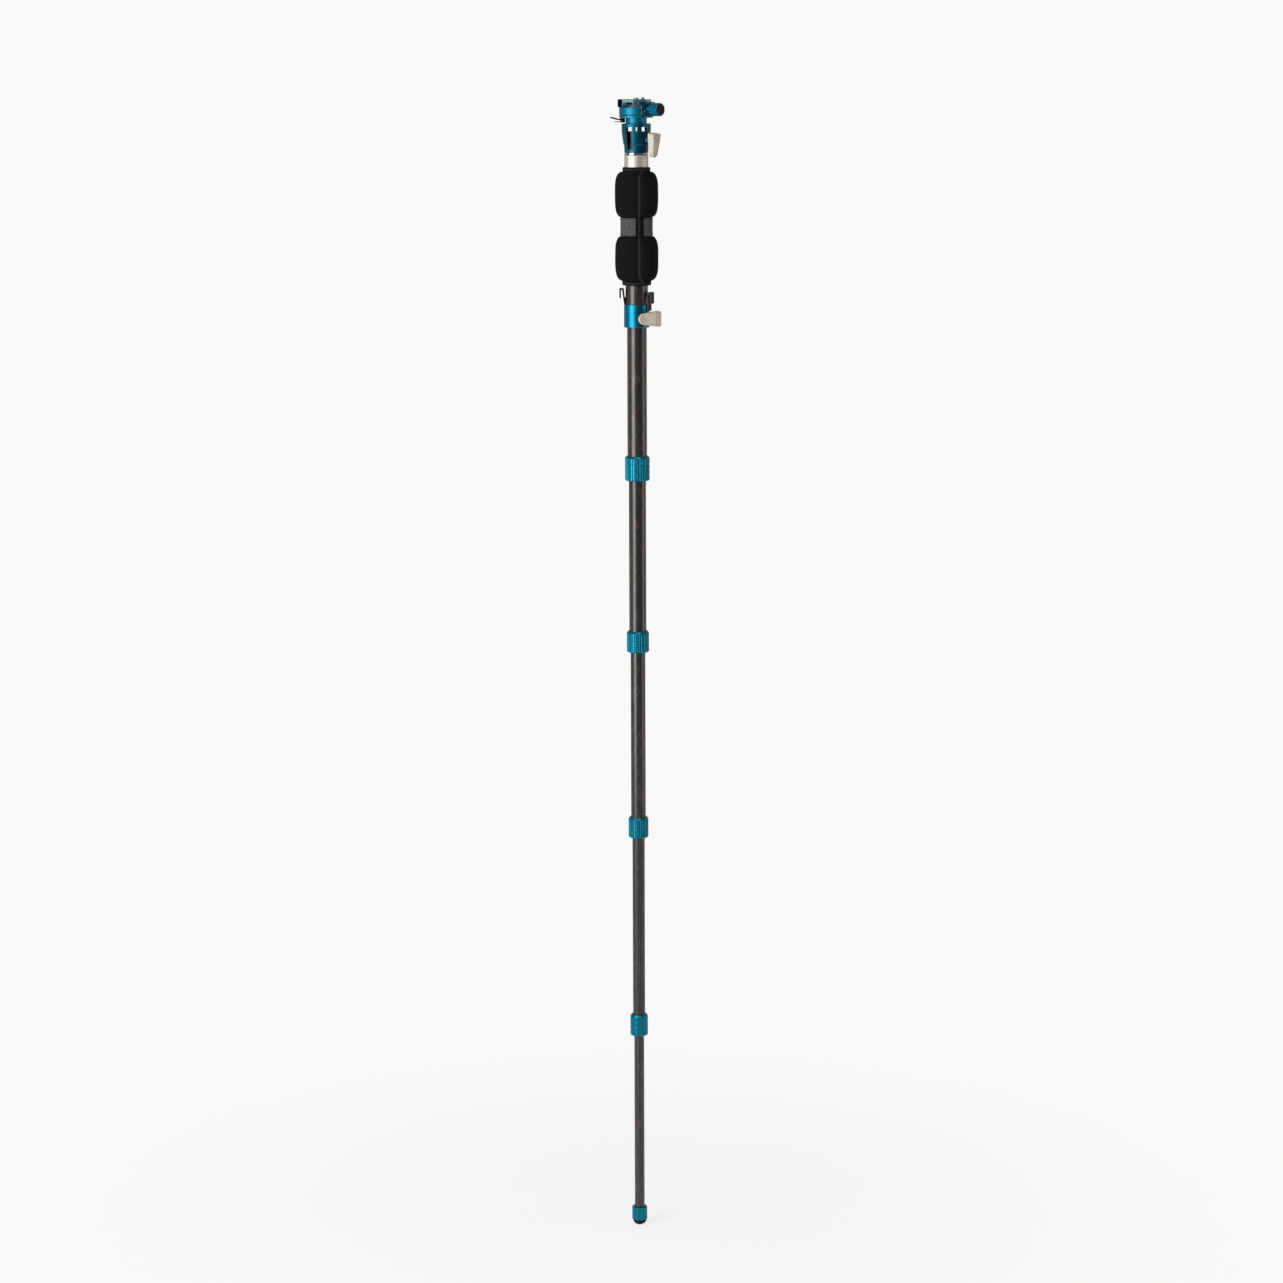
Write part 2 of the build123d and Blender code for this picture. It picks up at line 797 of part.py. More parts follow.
def grip_pad(name, bottom, top, flip):
    """Crowned pad: soft shoulders at both ends and a sewn channel down the front."""
    inner = top_lip_radius + glue_gap
    lip_end, waist_end = (bottom, top) if flip else (top, bottom)
    inwards = 1 if flip else -1
    middle = (bottom + top) / 2
    lip_root = bottom_lip_radius if flip else top_lip_radius + pad_lip_step
    with BuildPart() as pad:
        with BuildSketch(Plane.XZ) as crown:
            with BuildLine():
                start = (lip_root, lip_end)
                lip_shoulder = (pad_shoulder_radius, lip_end + inwards * pad_shoulder_rise)
                waist_shoulder = (pad_shoulder_radius, waist_end - inwards * pad_shoulder_rise)
                end = (pad_root_radius, waist_end)
                bulge = pad_lip_step / 2
                lip_bow = ((start[0] + lip_shoulder[0]) / 2 + bulge, (start[1] + lip_shoulder[1]) / 2)
                waist_bow = ((end[0] + waist_shoulder[0]) / 2 + bulge, (end[1] + waist_shoulder[1]) / 2)
                ThreePointArc(start, (lip_bow[0], lip_bow[1] - inwards * bulge), lip_shoulder)
                ThreePointArc(lip_shoulder, (pad_radius, middle), waist_shoulder)
                ThreePointArc(waist_shoulder, (waist_bow[0], waist_bow[1] + inwards * bulge), end)
                Polyline(end, (inner, waist_end), (inner, lip_end), start)
            make_face()
        revolve(crown.sketch, axis=Axis.Z)
        with BuildSketch(standing_plane(seam_azimuth, pad_radius, bottom - overrun)) as channel:
            with BuildLine():
                Polyline((-seam_depth, 0), (overrun, seam_width), (overrun, -seam_width), close=True)
            make_face()
        extrude(channel.sketch, amount=top - bottom + 2 * overrun, mode=Mode.SUBTRACT)
    save(pad, name)


grip_pad("lower_pad", lower_pad_bottom, waist_bottom, True)
grip_pad("upper_pad", waist_top, upper_pad_top, False)
waist_wall = waist_radius - top_lip_radius - glue_gap
tube_section("waist_band", waist_radius, waist_wall, waist_bottom, waist_top)

with BuildPart() as closure_strip:
    half_angle = math.degrees(strip_width / waist_radius / 2)
    strip_inner = waist_radius + glue_gap
    with BuildSketch(Plane.XY.offset(waist_bottom + glue_gap)) as strip:
        with BuildLine():
            strip_start = strip_azimuth - half_angle
            inner = CenterArc((0, 0), strip_inner, strip_start, 2 * half_angle)
            outer = CenterArc((0, 0), strip_inner + strip_thickness, strip_start, 2 * half_angle)
            Line(inner @ 0, outer @ 0)
            Line(inner @ 1, outer @ 1)
        make_face()
    extrude(strip.sketch, amount=waist_length - 2 * glue_gap)
save(closure_strip, "closure_strip")

# Silver head fitting, bonded over and into the handle tube
plug = handle_bore - glue_gap
with BuildPart() as head_fitting:
    turn(
        [
            (spigot_shank_radius + glue_gap, handle_top - fitting_plug),
            (plug, handle_top - fitting_plug),
            (plug, handle_top + glue_gap),
            (handle_radius + glue_gap, handle_top + glue_gap),
            (handle_radius + glue_gap, wrap_top + glue_gap),
            (fitting_radius - fitting_chamfer / 2, wrap_top + glue_gap),
            (fitting_radius, wrap_top + fitting_chamfer / 2),
            (fitting_radius, fitting_top - fitting_chamfer),
            (fitting_radius - fitting_chamfer, fitting_top),
            (spigot_shank_radius + glue_gap, fitting_top),
        ]
    )
save(head_fitting, "head_fitting")

# Spigot with a detent groove for the lever's screw
spigot_bottom = fitting_top + glue_gap
spigot_top = fitting_top + spigot_rise
head_lever_level = cage_bottom + head_lever_height
with BuildPart() as spigot:
    turn(
        [
            (0, spigot_bottom - spigot_shank_length),
            (spigot_shank_radius, spigot_bottom - spigot_shank_length),
            (spigot_shank_radius, spigot_bottom),
            (spigot_radius, spigot_bottom),
            (spigot_radius, head_lever_level - detent_width / 2),
            (spigot_radius - detent_depth, head_lever_level - detent_width / 2 + detent_depth),
            (spigot_radius - detent_depth, head_lever_level + detent_width / 2 - detent_depth),
            (spigot_radius, head_lever_level + detent_width / 2),
            (spigot_radius, spigot_top - spigot_chamfer),
            (spigot_radius - spigot_chamfer, spigot_top),
            (spigot_bore_radius, spigot_top),
            (spigot_bore_radius, spigot_top - spigot_bore_depth),
            (0, spigot_top - spigot_bore_depth),
        ]
    )
save(spigot, "spigot")

washer_inner = spigot_radius + glue_gap
swivel_outer = washer_inner + swivel_washer_width
tube_section("swivel_washer", swivel_outer, swivel_washer_width, fitting_top + glue_gap, thrust_bottom)
thrust_outer = washer_inner + thrust_washer_width
tube_section("thrust_washer", thrust_outer, thrust_washer_width, thrust_bottom + glue_gap, thrust_top)

# Head cage: sleeve on the spigot, open at four windows and a flex slit, with the lever's boss
window_bottom = cage_bottom + cage_base_height
with BuildPart() as head_cage:
    turn(
        [
            (cage_bore, cage_bottom),
            (cage_bore + cage_base_wall, cage_bottom),
            (cage_foot_radius, window_bottom),
            (cage_foot_radius, cage_bottom + cage_height * cage_foot_share),
            (cage_bore + cage_step_wall, cage_bottom + cage_height * cage_step_share),
            (cage_bore + cage_waist_wall, cage_bottom + cage_height * cage_waist_share),
            (cage_bore + cage_shoulder_wall, cage_bottom + cage_height * cage_shoulder_share),
            (cage_top_radius, cage_top - cage_plate - sight_height),
            (cage_top_radius, cage_top - pan_chamfer),
            (cage_top_radius - pan_chamfer, cage_top),
            (neck_shank_radius + glue_gap, cage_top),
            (neck_shank_radius + glue_gap, cage_plate_bottom),
            (cage_bore, cage_plate_bottom),
        ]
    )
    boss_plane = outward_plane(head_lever_azimuth, head_lever_level, cage_bore + overrun)
    bar(boss_plane, head_boss_radius, head_boss_reach - cage_bore - overrun)
    for azimuth, width in zip(window_azimuths, window_widths):
        sight = azimuth == window_azimuths[2]
        floor_level = cage_plate_bottom - sight_height if sight else window_bottom
        floor = standing_plane(azimuth, cage_top_radius, floor_level)
        block(floor, cage_top_radius, width, cage_plate_bottom - floor_level, Mode.SUBTRACT)
    slit_floor = level_plane(cage_plate_bottom - flex_slit_height, x=flex_slit_offset)
    block(slit_floor, flex_slit_width, 2 * cage_top_radius + overrun, flex_slit_height, Mode.SUBTRACT)
    screw_plane = outward_plane(head_lever_azimuth, head_lever_level)
    bar(screw_plane, lever_screw_radius + thread_gap, head_boss_reach + overrun, Mode.SUBTRACT)
save(head_cage, "head_cage")

head_paddle_plane = outward_plane(head_lever_azimuth, head_lever_level, head_paddle_start)
head_head_depth = lever_paddle(
    "head_lever_paddle",
    head_paddle_plane,
    head_paddle_tip,
    head_paddle_end,
    (head_paddle_tip_width, head_paddle_end_width),
    (head_paddle_tip_thickness, head_paddle_end_thickness),
    head_hub_radius,
    head_hub_length,
)
lever_screw(
    "head_lever_screw",
    head_lever_azimuth,
    head_lever_level,
    spigot_radius - detent_depth + running_fit,
    head_paddle_start + head_head_depth + glue_gap,
)

# Pan base: neck screwed into the cage, disc on top
lever_hole = azimuth_vector(pan_lever_azimuth) * pan_lever_radius
washer_floor = disc_top - pan_washer_height + swivel_gap / 2
with BuildPart() as pan_base:
    turn(
        [
            (pan_bolt_radius + glue_gap, cage_plate_bottom + pan_chamfer),
            (neck_shank_radius, cage_plate_bottom + pan_chamfer),
            (neck_shank_radius, cage_top + glue_gap),
            (neck_radius, cage_top + glue_gap),
            (neck_radius, disc_bottom),
            (pan_radius - pan_chamfer, disc_bottom),
            (pan_radius, disc_bottom + pan_chamfer),
            (pan_radius, disc_top - pan_chamfer),
            (pan_radius - pan_chamfer, disc_top),
            (pan_washer_outer + glue_gap, disc_top),
            (pan_washer_outer + glue_gap, washer_floor),
            (pan_washer_inner - glue_gap, washer_floor),
            (pan_washer_inner - glue_gap, disc_top),
            (pan_bolt_radius + glue_gap, disc_top),
        ]
    )
    stem_plane = level_plane(disc_bottom - overrun, lever_hole.X, lever_hole.Y)
    bar(stem_plane, pan_lever_stem + thread_gap, pan_disc_height + 2 * overrun, Mode.SUBTRACT)
save(pan_base, "pan_base")
tube_section(
    "pan_washer",
    pan_washer_outer,
    pan_washer_outer - pan_washer_inner,
    washer_floor + glue_gap,
    disc_top + swivel_gap / 2,
)

bolt_head_bottom = channel_floor - pan_head_height - swivel_gap
with BuildPart() as pan_bolt:
    turn(
        [
            (0, cage_plate_bottom + 2 * pan_chamfer),
            (pan_bolt_radius, cage_plate_bottom + 2 * pan_chamfer),
            (pan_bolt_radius, disc_top + glue_gap),
            (pan_shoulder_radius, disc_top + glue_gap),
            (pan_shoulder_radius, bolt_head_bottom),
            (pan_head_radius, bolt_head_bottom),
            (pan_head_radius, bolt_head_bottom + pan_head_height),
            (0, bolt_head_bottom + pan_head_height),
        ]
    )
    with BuildSketch(Plane.XY.offset(bolt_head_bottom + pan_head_height)) as socket:
        RegularPolygon(pan_socket_radius, 6)
    extrude(socket.sketch, amount=-pan_head_height / 2, mode=Mode.SUBTRACT)
save(pan_bolt, "pan_bolt")

hub_top = disc_bottom - swivel_gap
hub_bottom = hub_top - pan_lever_hub_height
blade_low = hub_bottom + pan_lever_hub_height / 2
blade_bend = pan_lever_radius + pan_lever_flat
blade_tip = pan_lever_radius + pan_lever_reach
leaf_tip = pan_lever_radius + pan_lever_leaf
with BuildPart() as pan_lever:
    hub_plane = level_plane(hub_bottom, lever_hole.X, lever_hole.Y)
    bar(hub_plane, pan_lever_hub, pan_lever_hub_height)
    bar(hub_plane, pan_lever_stem, disc_top - hub_bottom - swivel_gap / 2)
    blade_plane = Plane(
        origin=(0, 0, 0),
        x_dir=azimuth_vector(pan_lever_azimuth),
        z_dir=azimuth_vector(pan_lever_azimuth - 90),
    )
    with BuildSketch(blade_plane) as blade:
        with BuildLine():
            Polyline(
                (pan_lever_radius, blade_low),
                (blade_bend, blade_low),
                (blade_tip, blade_low + pan_lever_rise),
                (blade_tip, blade_low + pan_lever_rise + pan_lever_blade),
                (blade_bend, blade_low + pan_lever_blade),
                (pan_lever_radius, blade_low + pan_lever_blade),
                close=True,
            )
        make_face()
        with BuildLine():
            Polyline(
                (pan_lever_radius, hub_bottom),
                (leaf_tip, hub_bottom + pan_lever_leaf_thickness / 2),
                (leaf_tip, hub_bottom + pan_lever_leaf_thickness * 3 / 2),
                (pan_lever_radius, hub_bottom + pan_lever_leaf_thickness),
                close=True,
            )
        make_face()
    extrude(blade.sketch, amount=pan_lever_width / 2, both=True)
save(pan_lever, "pan_lever")

# Dovetail clamp: everything in a frame with X along the screw and Y along the channel
screw_way = azimuth_vector(clamp_azimuth)
channel_way = azimuth_vector(clamp_azimuth + 90)


def clamp_plane(height, along=0.0, across=0.0):
    """Level plane at a height, X along the clamp screw and Y along the channel."""
    origin = screw_way * along + channel_way * across + Vector(0, 0, height)
    return Plane(origin=origin, x_dir=screw_way, z_dir=(0, 0, 1))


def screw_plane_at(distance, height, sideways=0.0):
    """Plane square to the clamp screw, at a distance along it."""
    origin = screw_way * distance + channel_way * sideways + Vector(0, 0, height)
    return Plane(origin=origin, x_dir=channel_way, z_dir=screw_way)


def clamp_profile(outline, length, mode=Mode.ADD):
    """Extrude an outline of (distance along the screw, height) points both ways along the channel."""
    with BuildSketch(Plane(origin=(0, 0, 0), x_dir=screw_way, z_dir=-channel_way)) as profile:
        with BuildLine():
            Polyline(*outline, close=True)
        make_face()
    extrude(profile.sketch, amount=length / 2, both=True, mode=mode)


def trim_round(radius, bottom, height):
    """Trim a piece to a round bar on the pole axis."""
    bar(Plane.XY.offset(bottom), radius, height, Mode.INTERSECT)


edge_top = plate_bottom + dovetail_edge
waist_level = edge_top + dovetail_lean
fix_screw_place = -(jaw_inner + fix_screw_inset)

with BuildPart() as clamp_base:
    turn(
        [
            (pan_shoulder_radius + running_fit, base_bottom + pan_washer_height / 2),
            (pan_washer_outer + swivel_gap, base_bottom + pan_washer_height / 2),
            (pan_washer_outer + swivel_gap, base_bottom),
            (pan_radius - pan_chamfer, base_bottom),
            (pan_radius, base_bottom + pan_chamfer),
            (pan_radius, channel_floor - 2 * pan_chamfer),
            (pan_radius - base_groove, channel_floor - pan_chamfer),
            (pan_radius, channel_floor),
            (pan_head_radius + swivel_gap, channel_floor),
            (pan_head_radius + swivel_gap, bolt_head_bottom - swivel_gap),
            (pan_shoulder_radius + running_fit, bolt_head_bottom - swivel_gap),
        ]
    )
    flat_plane = screw_plane_at(base_flat, channel_floor)
    block(flat_plane, 2 * pan_radius, 2 * clamp_base_height + overrun, pan_radius, Mode.SUBTRACT)
    bar(screw_plane_at(screw_root, screw_height), screw_radius + glue_gap, pan_radius, Mode.SUBTRACT)
    for side in (-1, 1):
        pin_hole = screw_plane_at(pin_root, pin_height, side * pin_spread)
        bar(pin_hole, pin_radius + glue_gap, pan_radius, Mode.SUBTRACT)
        fix_plane = clamp_plane(base_bottom - overrun, fix_screw_place, side * fix_screw_spread)
        bar(fix_plane, fix_screw_radius + glue_gap, clamp_base_height + 2 * overrun, Mode.SUBTRACT)
save(clamp_base, "clamp_base")

with BuildPart() as clamp_screw:
    bar(screw_plane_at(screw_root, screw_height), screw_radius, screw_end - screw_root)
save(clamp_screw, "clamp_screw")

with BuildPart() as jaw_guide_pins:
    for side in (-1, 1):
        bar(screw_plane_at(pin_root, pin_height, side * pin_spread), pin_radius, pin_end - pin_root)
save(jaw_guide_pins, "jaw_guide_pins")

rim_inner = half_flange + swivel_gap
with BuildPart() as fixed_jaw:
    clamp_profile(
        [
            (-jaw_inner, channel_floor + glue_gap),
            (-jaw_inner, edge_top + jaw_gap),
            (-jaw_lip, waist_level + jaw_gap),
            (-jaw_lip, jaw_top),
            (-rim_inner, jaw_top),
            (-rim_inner, jaw_top + jaw_rim),
            (-jaw_radius - overrun, jaw_top + jaw_rim),
            (-jaw_radius - overrun, channel_floor + glue_gap),
        ],
        2 * jaw_radius,
    )
    trim_round(jaw_radius, channel_floor, jaw_height + jaw_rim)
    serration_step = math.degrees(serration_pitch / jaw_radius)
    serration_count = int(serration_span / serration_step)
    flare = serration_width / 2 * (1 + overrun / serration_depth)
    with BuildSketch(clamp_plane(channel_floor)) as teeth:
        with PolarLocations(jaw_radius, serration_count, 180 - serration_span / 2, serration_span):
            Polygon((-serration_depth, 0), (overrun, -flare), (overrun, flare), align=None)
    extrude(teeth.sketch, amount=jaw_height + jaw_rim, mode=Mode.SUBTRACT)
    relief_floor = level_plane(channel_floor + relief_height / 2, x=relief_inset - jaw_inner)
    block(relief_floor, relief_width, 2 * jaw_radius, relief_height, Mode.SUBTRACT)
    for side in (-1, 1):
        fix_plane = clamp_plane(channel_floor - overrun, fix_screw_place, side * fix_screw_spread)
        bar(fix_plane, fix_screw_radius + glue_gap, overrun + fix_screw_grip + glue_gap, Mode.SUBTRACT)
save(fixed_jaw, "fixed_jaw")

with BuildPart() as fixed_jaw_screws:
    for side in (-1, 1):
        fix_plane = clamp_plane(base_bottom + fix_screw_sink, fix_screw_place, side * fix_screw_spread)
        bar(fix_plane, fix_screw_radius, clamp_base_height - fix_screw_sink + fix_screw_grip)
save(fixed_jaw_screws, "fixed_jaw_screws")

block_bottom = base_bottom + jaw_block_rise
with BuildPart() as moving_jaw:
    clamp_profile(
        [
            (base_flat + swivel_gap, block_bottom),
            (jaw_radius + overrun, block_bottom),
            (jaw_radius + overrun, jaw_top),
            (jaw_lip, jaw_top),
            (jaw_lip, waist_level + jaw_gap),
            (jaw_inner, edge_top + jaw_gap),
            (jaw_inner, channel_floor + swivel_gap),
            (base_flat + swivel_gap, channel_floor + swivel_gap),
        ],
        2 * jaw_radius,
    )
    trim_round(jaw_radius, block_bottom, jaw_top - block_bottom)
    boss_start = jaw_inner + overrun
    bar(screw_plane_at(boss_start, screw_height), jaw_boss_radius, jaw_boss_end - boss_start)
    bar(screw_plane_at(0, screw_height), screw_radius + thread_gap, jaw_boss_end + overrun, Mode.SUBTRACT)
    for side in (-1, 1):
        pin_hole = screw_plane_at(0, pin_height, side * pin_spread)
        bar(pin_hole, pin_radius + running_fit, jaw_radius + overrun, Mode.SUBTRACT)
save(moving_jaw, "moving_jaw")

# Clamp knob: fluted barrel and its black end cap
with BuildPart() as clamp_knob:
    bar(screw_plane_at(knob_start, screw_height), knob_neck_radius, knob_neck_length)
    barrel_plane = screw_plane_at(knob_start + knob_neck_length, screw_height)
    bar(barrel_plane, knob_radius, knob_length - knob_neck_length)
    rims = clamp_knob.edges().filter_by(GeomType.CIRCLE)
    chamfer(rims.filter_by(lambda rim: rim.radius > knob_neck_radius), knob_chamfer)
    with BuildSketch(barrel_plane) as grooves:
        with PolarLocations(knob_radius + knob_flute_radius - knob_flute_depth, knob_flutes):
            Circle(knob_flute_radius)
    extrude(grooves.sketch, amount=knob_length - knob_neck_length - 2 * knob_chamfer, mode=Mode.SUBTRACT)
    seat_plane = screw_plane_at(knob_end - cap_seat, screw_height)
    bar(seat_plane, cap_radius + glue_gap, cap_seat + overrun, Mode.SUBTRACT)
    thread_plane = screw_plane_at(knob_start - overrun, screw_height)
    bar(thread_plane, screw_radius + thread_gap, knob_length + 2 * overrun, Mode.SUBTRACT)
save(clamp_knob, "clamp_knob")

cap_start = knob_end - cap_seat + glue_gap
with BuildPart() as clamp_knob_cap:
    bar(screw_plane_at(cap_start, screw_height), cap_radius, cap_length)
    cap_face = screw_plane_at(cap_start + cap_length, screw_height)
    rims = clamp_knob_cap.edges().filter_by(GeomType.CIRCLE)
    chamfer(rims.sort_by(Axis((0, 0, 0), screw_way))[-1], knob_chamfer / 2)
    with BuildSketch(cap_face) as slot:
        Rectangle(2 * cap_radius, cap_slot_width)
        Circle(cap_screw_radius)
    extrude(slot.sketch, amount=-cap_slot_depth, mode=Mode.SUBTRACT)
save(clamp_knob_cap, "clamp_knob_cap")

# Camera plate with its pads, pin and screw
flange_bottom = plate_top - plate_flange
groove_top = plate_top - plate_roof
plate_half = [
    (plate_groove / 2, plate_bottom),
    (half_dovetail, plate_bottom),
    (half_dovetail, edge_top),
    (half_dovetail - dovetail_lean, waist_level),
    (half_dovetail - dovetail_lean, flange_bottom),
    (half_flange, flange_bottom),
    (half_flange, plate_top - plate_edge),
    (half_flange - plate_edge, plate_top),
]
plate_outline = plate_half + [(-x, z) for x, z in reversed(plate_half)]
plate_outline += [(-plate_groove / 2, groove_top), (plate_groove / 2, groove_top)]
half_length = plate_length / 2
with BuildPart() as camera_plate:
    clamp_profile(plate_outline, plate_length)
    with BuildSketch(clamp_plane(plate_bottom - overrun)) as octagon:
        corners = []
        for x_side, y_side in ((1, 1), (-1, 1), (-1, -1), (1, -1)):
            near = (x_side * half_flange, y_side * (half_length - plate_corner))
            far = (x_side * (half_flange - plate_corner), y_side * half_length)
            corners += [near, far] if x_side == y_side else [far, near]
        with BuildLine():
            Polyline(*corners, close=True)
        make_face()
    extrude(octagon.sketch, amount=plate_top - plate_bottom + 2 * overrun, mode=Mode.INTERSECT)
    hole_height = plate_top - plate_bottom + overrun
    bar(clamp_plane(plate_bottom), camera_screw_radius + thread_gap, hole_height, Mode.SUBTRACT)
    with BuildSketch(clamp_plane(plate_top - pad_strip_depth)) as strips:
        with Locations((pad_strip_offset, 0), (-pad_strip_offset, 0)):
            Rectangle(pad_strip_width, pad_strip_length)
    extrude(strips.sketch, amount=pad_strip_depth + overrun, mode=Mode.SUBTRACT)
    pin_plane = clamp_plane(plate_top - twist_pin_seat, across=twist_pin_place)
    bar(pin_plane, twist_pin_radius + glue_gap, twist_pin_seat + overrun, Mode.SUBTRACT)
save(camera_plate, "camera_plate")

with BuildPart() as plate_pads:
    with BuildSketch(clamp_plane(plate_top - pad_strip_depth + glue_gap)) as strips:
        with Locations((pad_strip_offset, 0), (-pad_strip_offset, 0)):
            Rectangle(pad_strip_width - 2 * glue_gap, pad_strip_length - 2 * glue_gap)
    extrude(strips.sketch, amount=pad_strip_depth + pad_strip_rise - glue_gap)
save(plate_pads, "plate_pads")

with BuildPart() as anti_twist_pin:
    bar(pin_plane.offset(glue_gap), twist_pin_radius, twist_pin_seat + twist_pin_rise - glue_gap)
    fillet(anti_twist_pin.edges().filter_by(GeomType.CIRCLE).sort_by(Axis.Z)[-1], twist_pin_radius / 3)
save(anti_twist_pin, "anti_twist_pin")

screw_head_top = groove_top - swivel_gap
with BuildPart() as camera_screw:
    bar(level_plane(screw_head_top - camera_screw_head_height), camera_screw_head, camera_screw_head_height)
    bar(level_plane(screw_head_top), camera_screw_neck, plate_top - screw_head_top)
    bar(level_plane(plate_top), camera_screw_radius, camera_screw_rise)
    rims = camera_screw.edges().filter_by(GeomType.CIRCLE)
    chamfer(rims.sort_by(Axis.Z)[-1], camera_screw_chamfer)
    slot_plane = clamp_plane(screw_head_top - camera_screw_head_height)
    block(slot_plane, camera_screw_slot, 2 * camera_screw_head, camera_screw_slot / 2, Mode.SUBTRACT)
save(camera_screw, "camera_screw")

# Travel of each section, from drawn out to stowed: what the locks and the tubes above leave
room_tops = [handle_top - fitting_plug] + [top - guide_skirt for top in tube_tops[:-1]]
travels = []
for index, drawn in enumerate(drawn_lengths):
    outside = drawn - stow_gap
    inside = room_tops[index] - tube_tops[index] - guide_flange - swivel_gap
    travels.append(min(outside, inside))
print("overall height", plate_top + twist_pin_rise)
print("travels", [round(travel, 1) for travel in travels])
print("lock bottoms", [round(bottom, 1) for bottom in lock_bottoms])
print("collar lever", collar_lever_level, tuple(collar_lever_normal))
print("head lever", head_lever_level, tuple(azimuth_vector(head_lever_azimuth)))
print("clamp screw", screw_height, tuple(screw_way))
print("pan lever", tuple(lever_hole))
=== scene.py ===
# %% [markdown]
# # Dressing a camera monopod
# The solids of this monopod come from CAD: five nested carbon tubes, four twist locks, a collar with
# a paddle lever, a padded grip and a small panning clamp. This notebook gives them their finishes,
# sews the grip's wrap, and lights the pole as a product photograph would.
# Everything is in metres, in the CAD's own frame: +Z runs up the pole and the origin is the middle
# of the hand grip, so a new piece goes exactly where the drawing says.

# %% Open the frame
import math
import random

import bpy
from mathutils import Matrix, Vector, noise
from mathutils.bvhtree import BVHTree


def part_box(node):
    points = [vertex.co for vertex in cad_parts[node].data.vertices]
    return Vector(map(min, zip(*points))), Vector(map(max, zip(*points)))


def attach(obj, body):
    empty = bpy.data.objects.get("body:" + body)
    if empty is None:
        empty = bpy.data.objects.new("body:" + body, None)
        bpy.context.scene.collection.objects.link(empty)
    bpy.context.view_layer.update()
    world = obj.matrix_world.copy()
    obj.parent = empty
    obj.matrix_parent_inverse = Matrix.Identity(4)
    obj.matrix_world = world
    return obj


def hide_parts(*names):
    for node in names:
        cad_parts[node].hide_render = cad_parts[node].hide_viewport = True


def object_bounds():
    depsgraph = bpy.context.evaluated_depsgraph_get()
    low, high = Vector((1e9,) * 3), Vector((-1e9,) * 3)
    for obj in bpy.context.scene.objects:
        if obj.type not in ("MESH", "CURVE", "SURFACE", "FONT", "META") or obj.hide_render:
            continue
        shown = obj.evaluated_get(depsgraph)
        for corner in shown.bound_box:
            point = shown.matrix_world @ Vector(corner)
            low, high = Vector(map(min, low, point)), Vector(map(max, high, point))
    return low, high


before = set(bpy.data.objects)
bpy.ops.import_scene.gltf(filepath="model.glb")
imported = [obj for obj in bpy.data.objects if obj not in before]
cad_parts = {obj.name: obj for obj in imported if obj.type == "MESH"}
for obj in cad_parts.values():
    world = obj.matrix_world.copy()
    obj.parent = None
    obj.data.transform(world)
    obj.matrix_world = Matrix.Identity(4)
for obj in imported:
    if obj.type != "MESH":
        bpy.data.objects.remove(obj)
cad_box = [list(corner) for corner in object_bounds()]
MM = 0.001
random.seed(7)

# %% [markdown]
# ## Colours and nodes
# A colour picked from a screen is sRGB, while a shader wants linear light, so one function turns a
# hex value over. A second function adds a shader node: settings go on the node or on its sockets,
# and links go in by socket name. Two functions are enough for every finish here.

# %% Two helpers


def linear(text):
    """Turn an sRGB hex colour such as #0a7fae into linear RGBA."""
    values = [int(text[place : place + 2], 16) / 255 for place in (1, 3, 5)]
    return [v / 12.92 if v <= 0.04045 else ((v + 0.055) / 1.055) ** 2.4 for v in values] + [1.0]


def add_node(tree, kind, settings=(), links=()):
    """Add a node, put its settings on it or on its sockets, and link named or numbered inputs."""
    made = tree.nodes.new(kind)
    for name, value in dict(settings).items():
        if isinstance(name, str) and hasattr(made, name):
            setattr(made, name, value)
        else:
            made.inputs[name].default_value = value
    for name, source in dict(links).items():
        tree.links.new(source, made.inputs[name])
    return made


def new_finish(name, colour, **sockets):
    """A material of one Principled shader with its constants set on the shader's own sockets."""
    material = bpy.data.materials.new(name)
    material.use_nodes = True
    tree = material.node_tree
    shader = tree.nodes["Principled BSDF"]
    shader.inputs["Base Color"].default_value = linear(colour)
    for socket, value in sockets.items():
        shader.inputs[socket.replace("_", " ").title().replace("Ior", "IOR")].default_value = value
    return material, tree, shader


print("blue in linear light", [round(v, 3) for v in linear("#0a7fae")])

# %% [markdown]
# ## Turned and anodised aluminium
# The locks, the collar and the head are aluminium turned on a lathe, then anodised and dyed. The dye
# sits in a clear oxide over bright metal, so the colour is deep, the highlights run to pale cyan and
# the shadows to navy. A lathe leaves a fine spiral of tool marks: light smears across them, along
# the part's length. The tool mark is 0.1 mm on the real ring, which is too fine to show, so it is
# drawn as a noise of 0.35 mm that only varies with height.
# No real edge is sharp, and an edge is where a dyed oxide rubs through first. The Bevel node gives
# the normal of a small round on every edge, which catches the light; where that normal leaves the
# face's own, the edge is near, and the colour goes over to a pale one: partly rubbed, nearly bare
# metal, partly a painted highlight along the edge.

# %% Anodised finishes
TOOL_MARK_MM = 0.35
TOOL_MARK_DEPTH_MM = 0.04
SMUDGE_MM = 14.0
EDGE_MM = 0.3
EDGE_STARTS, EDGE_FULL_WEAR_AND_HIGHLIGHT = 0.995, 0.90
OXIDE_ROUGHNESS = 0.22


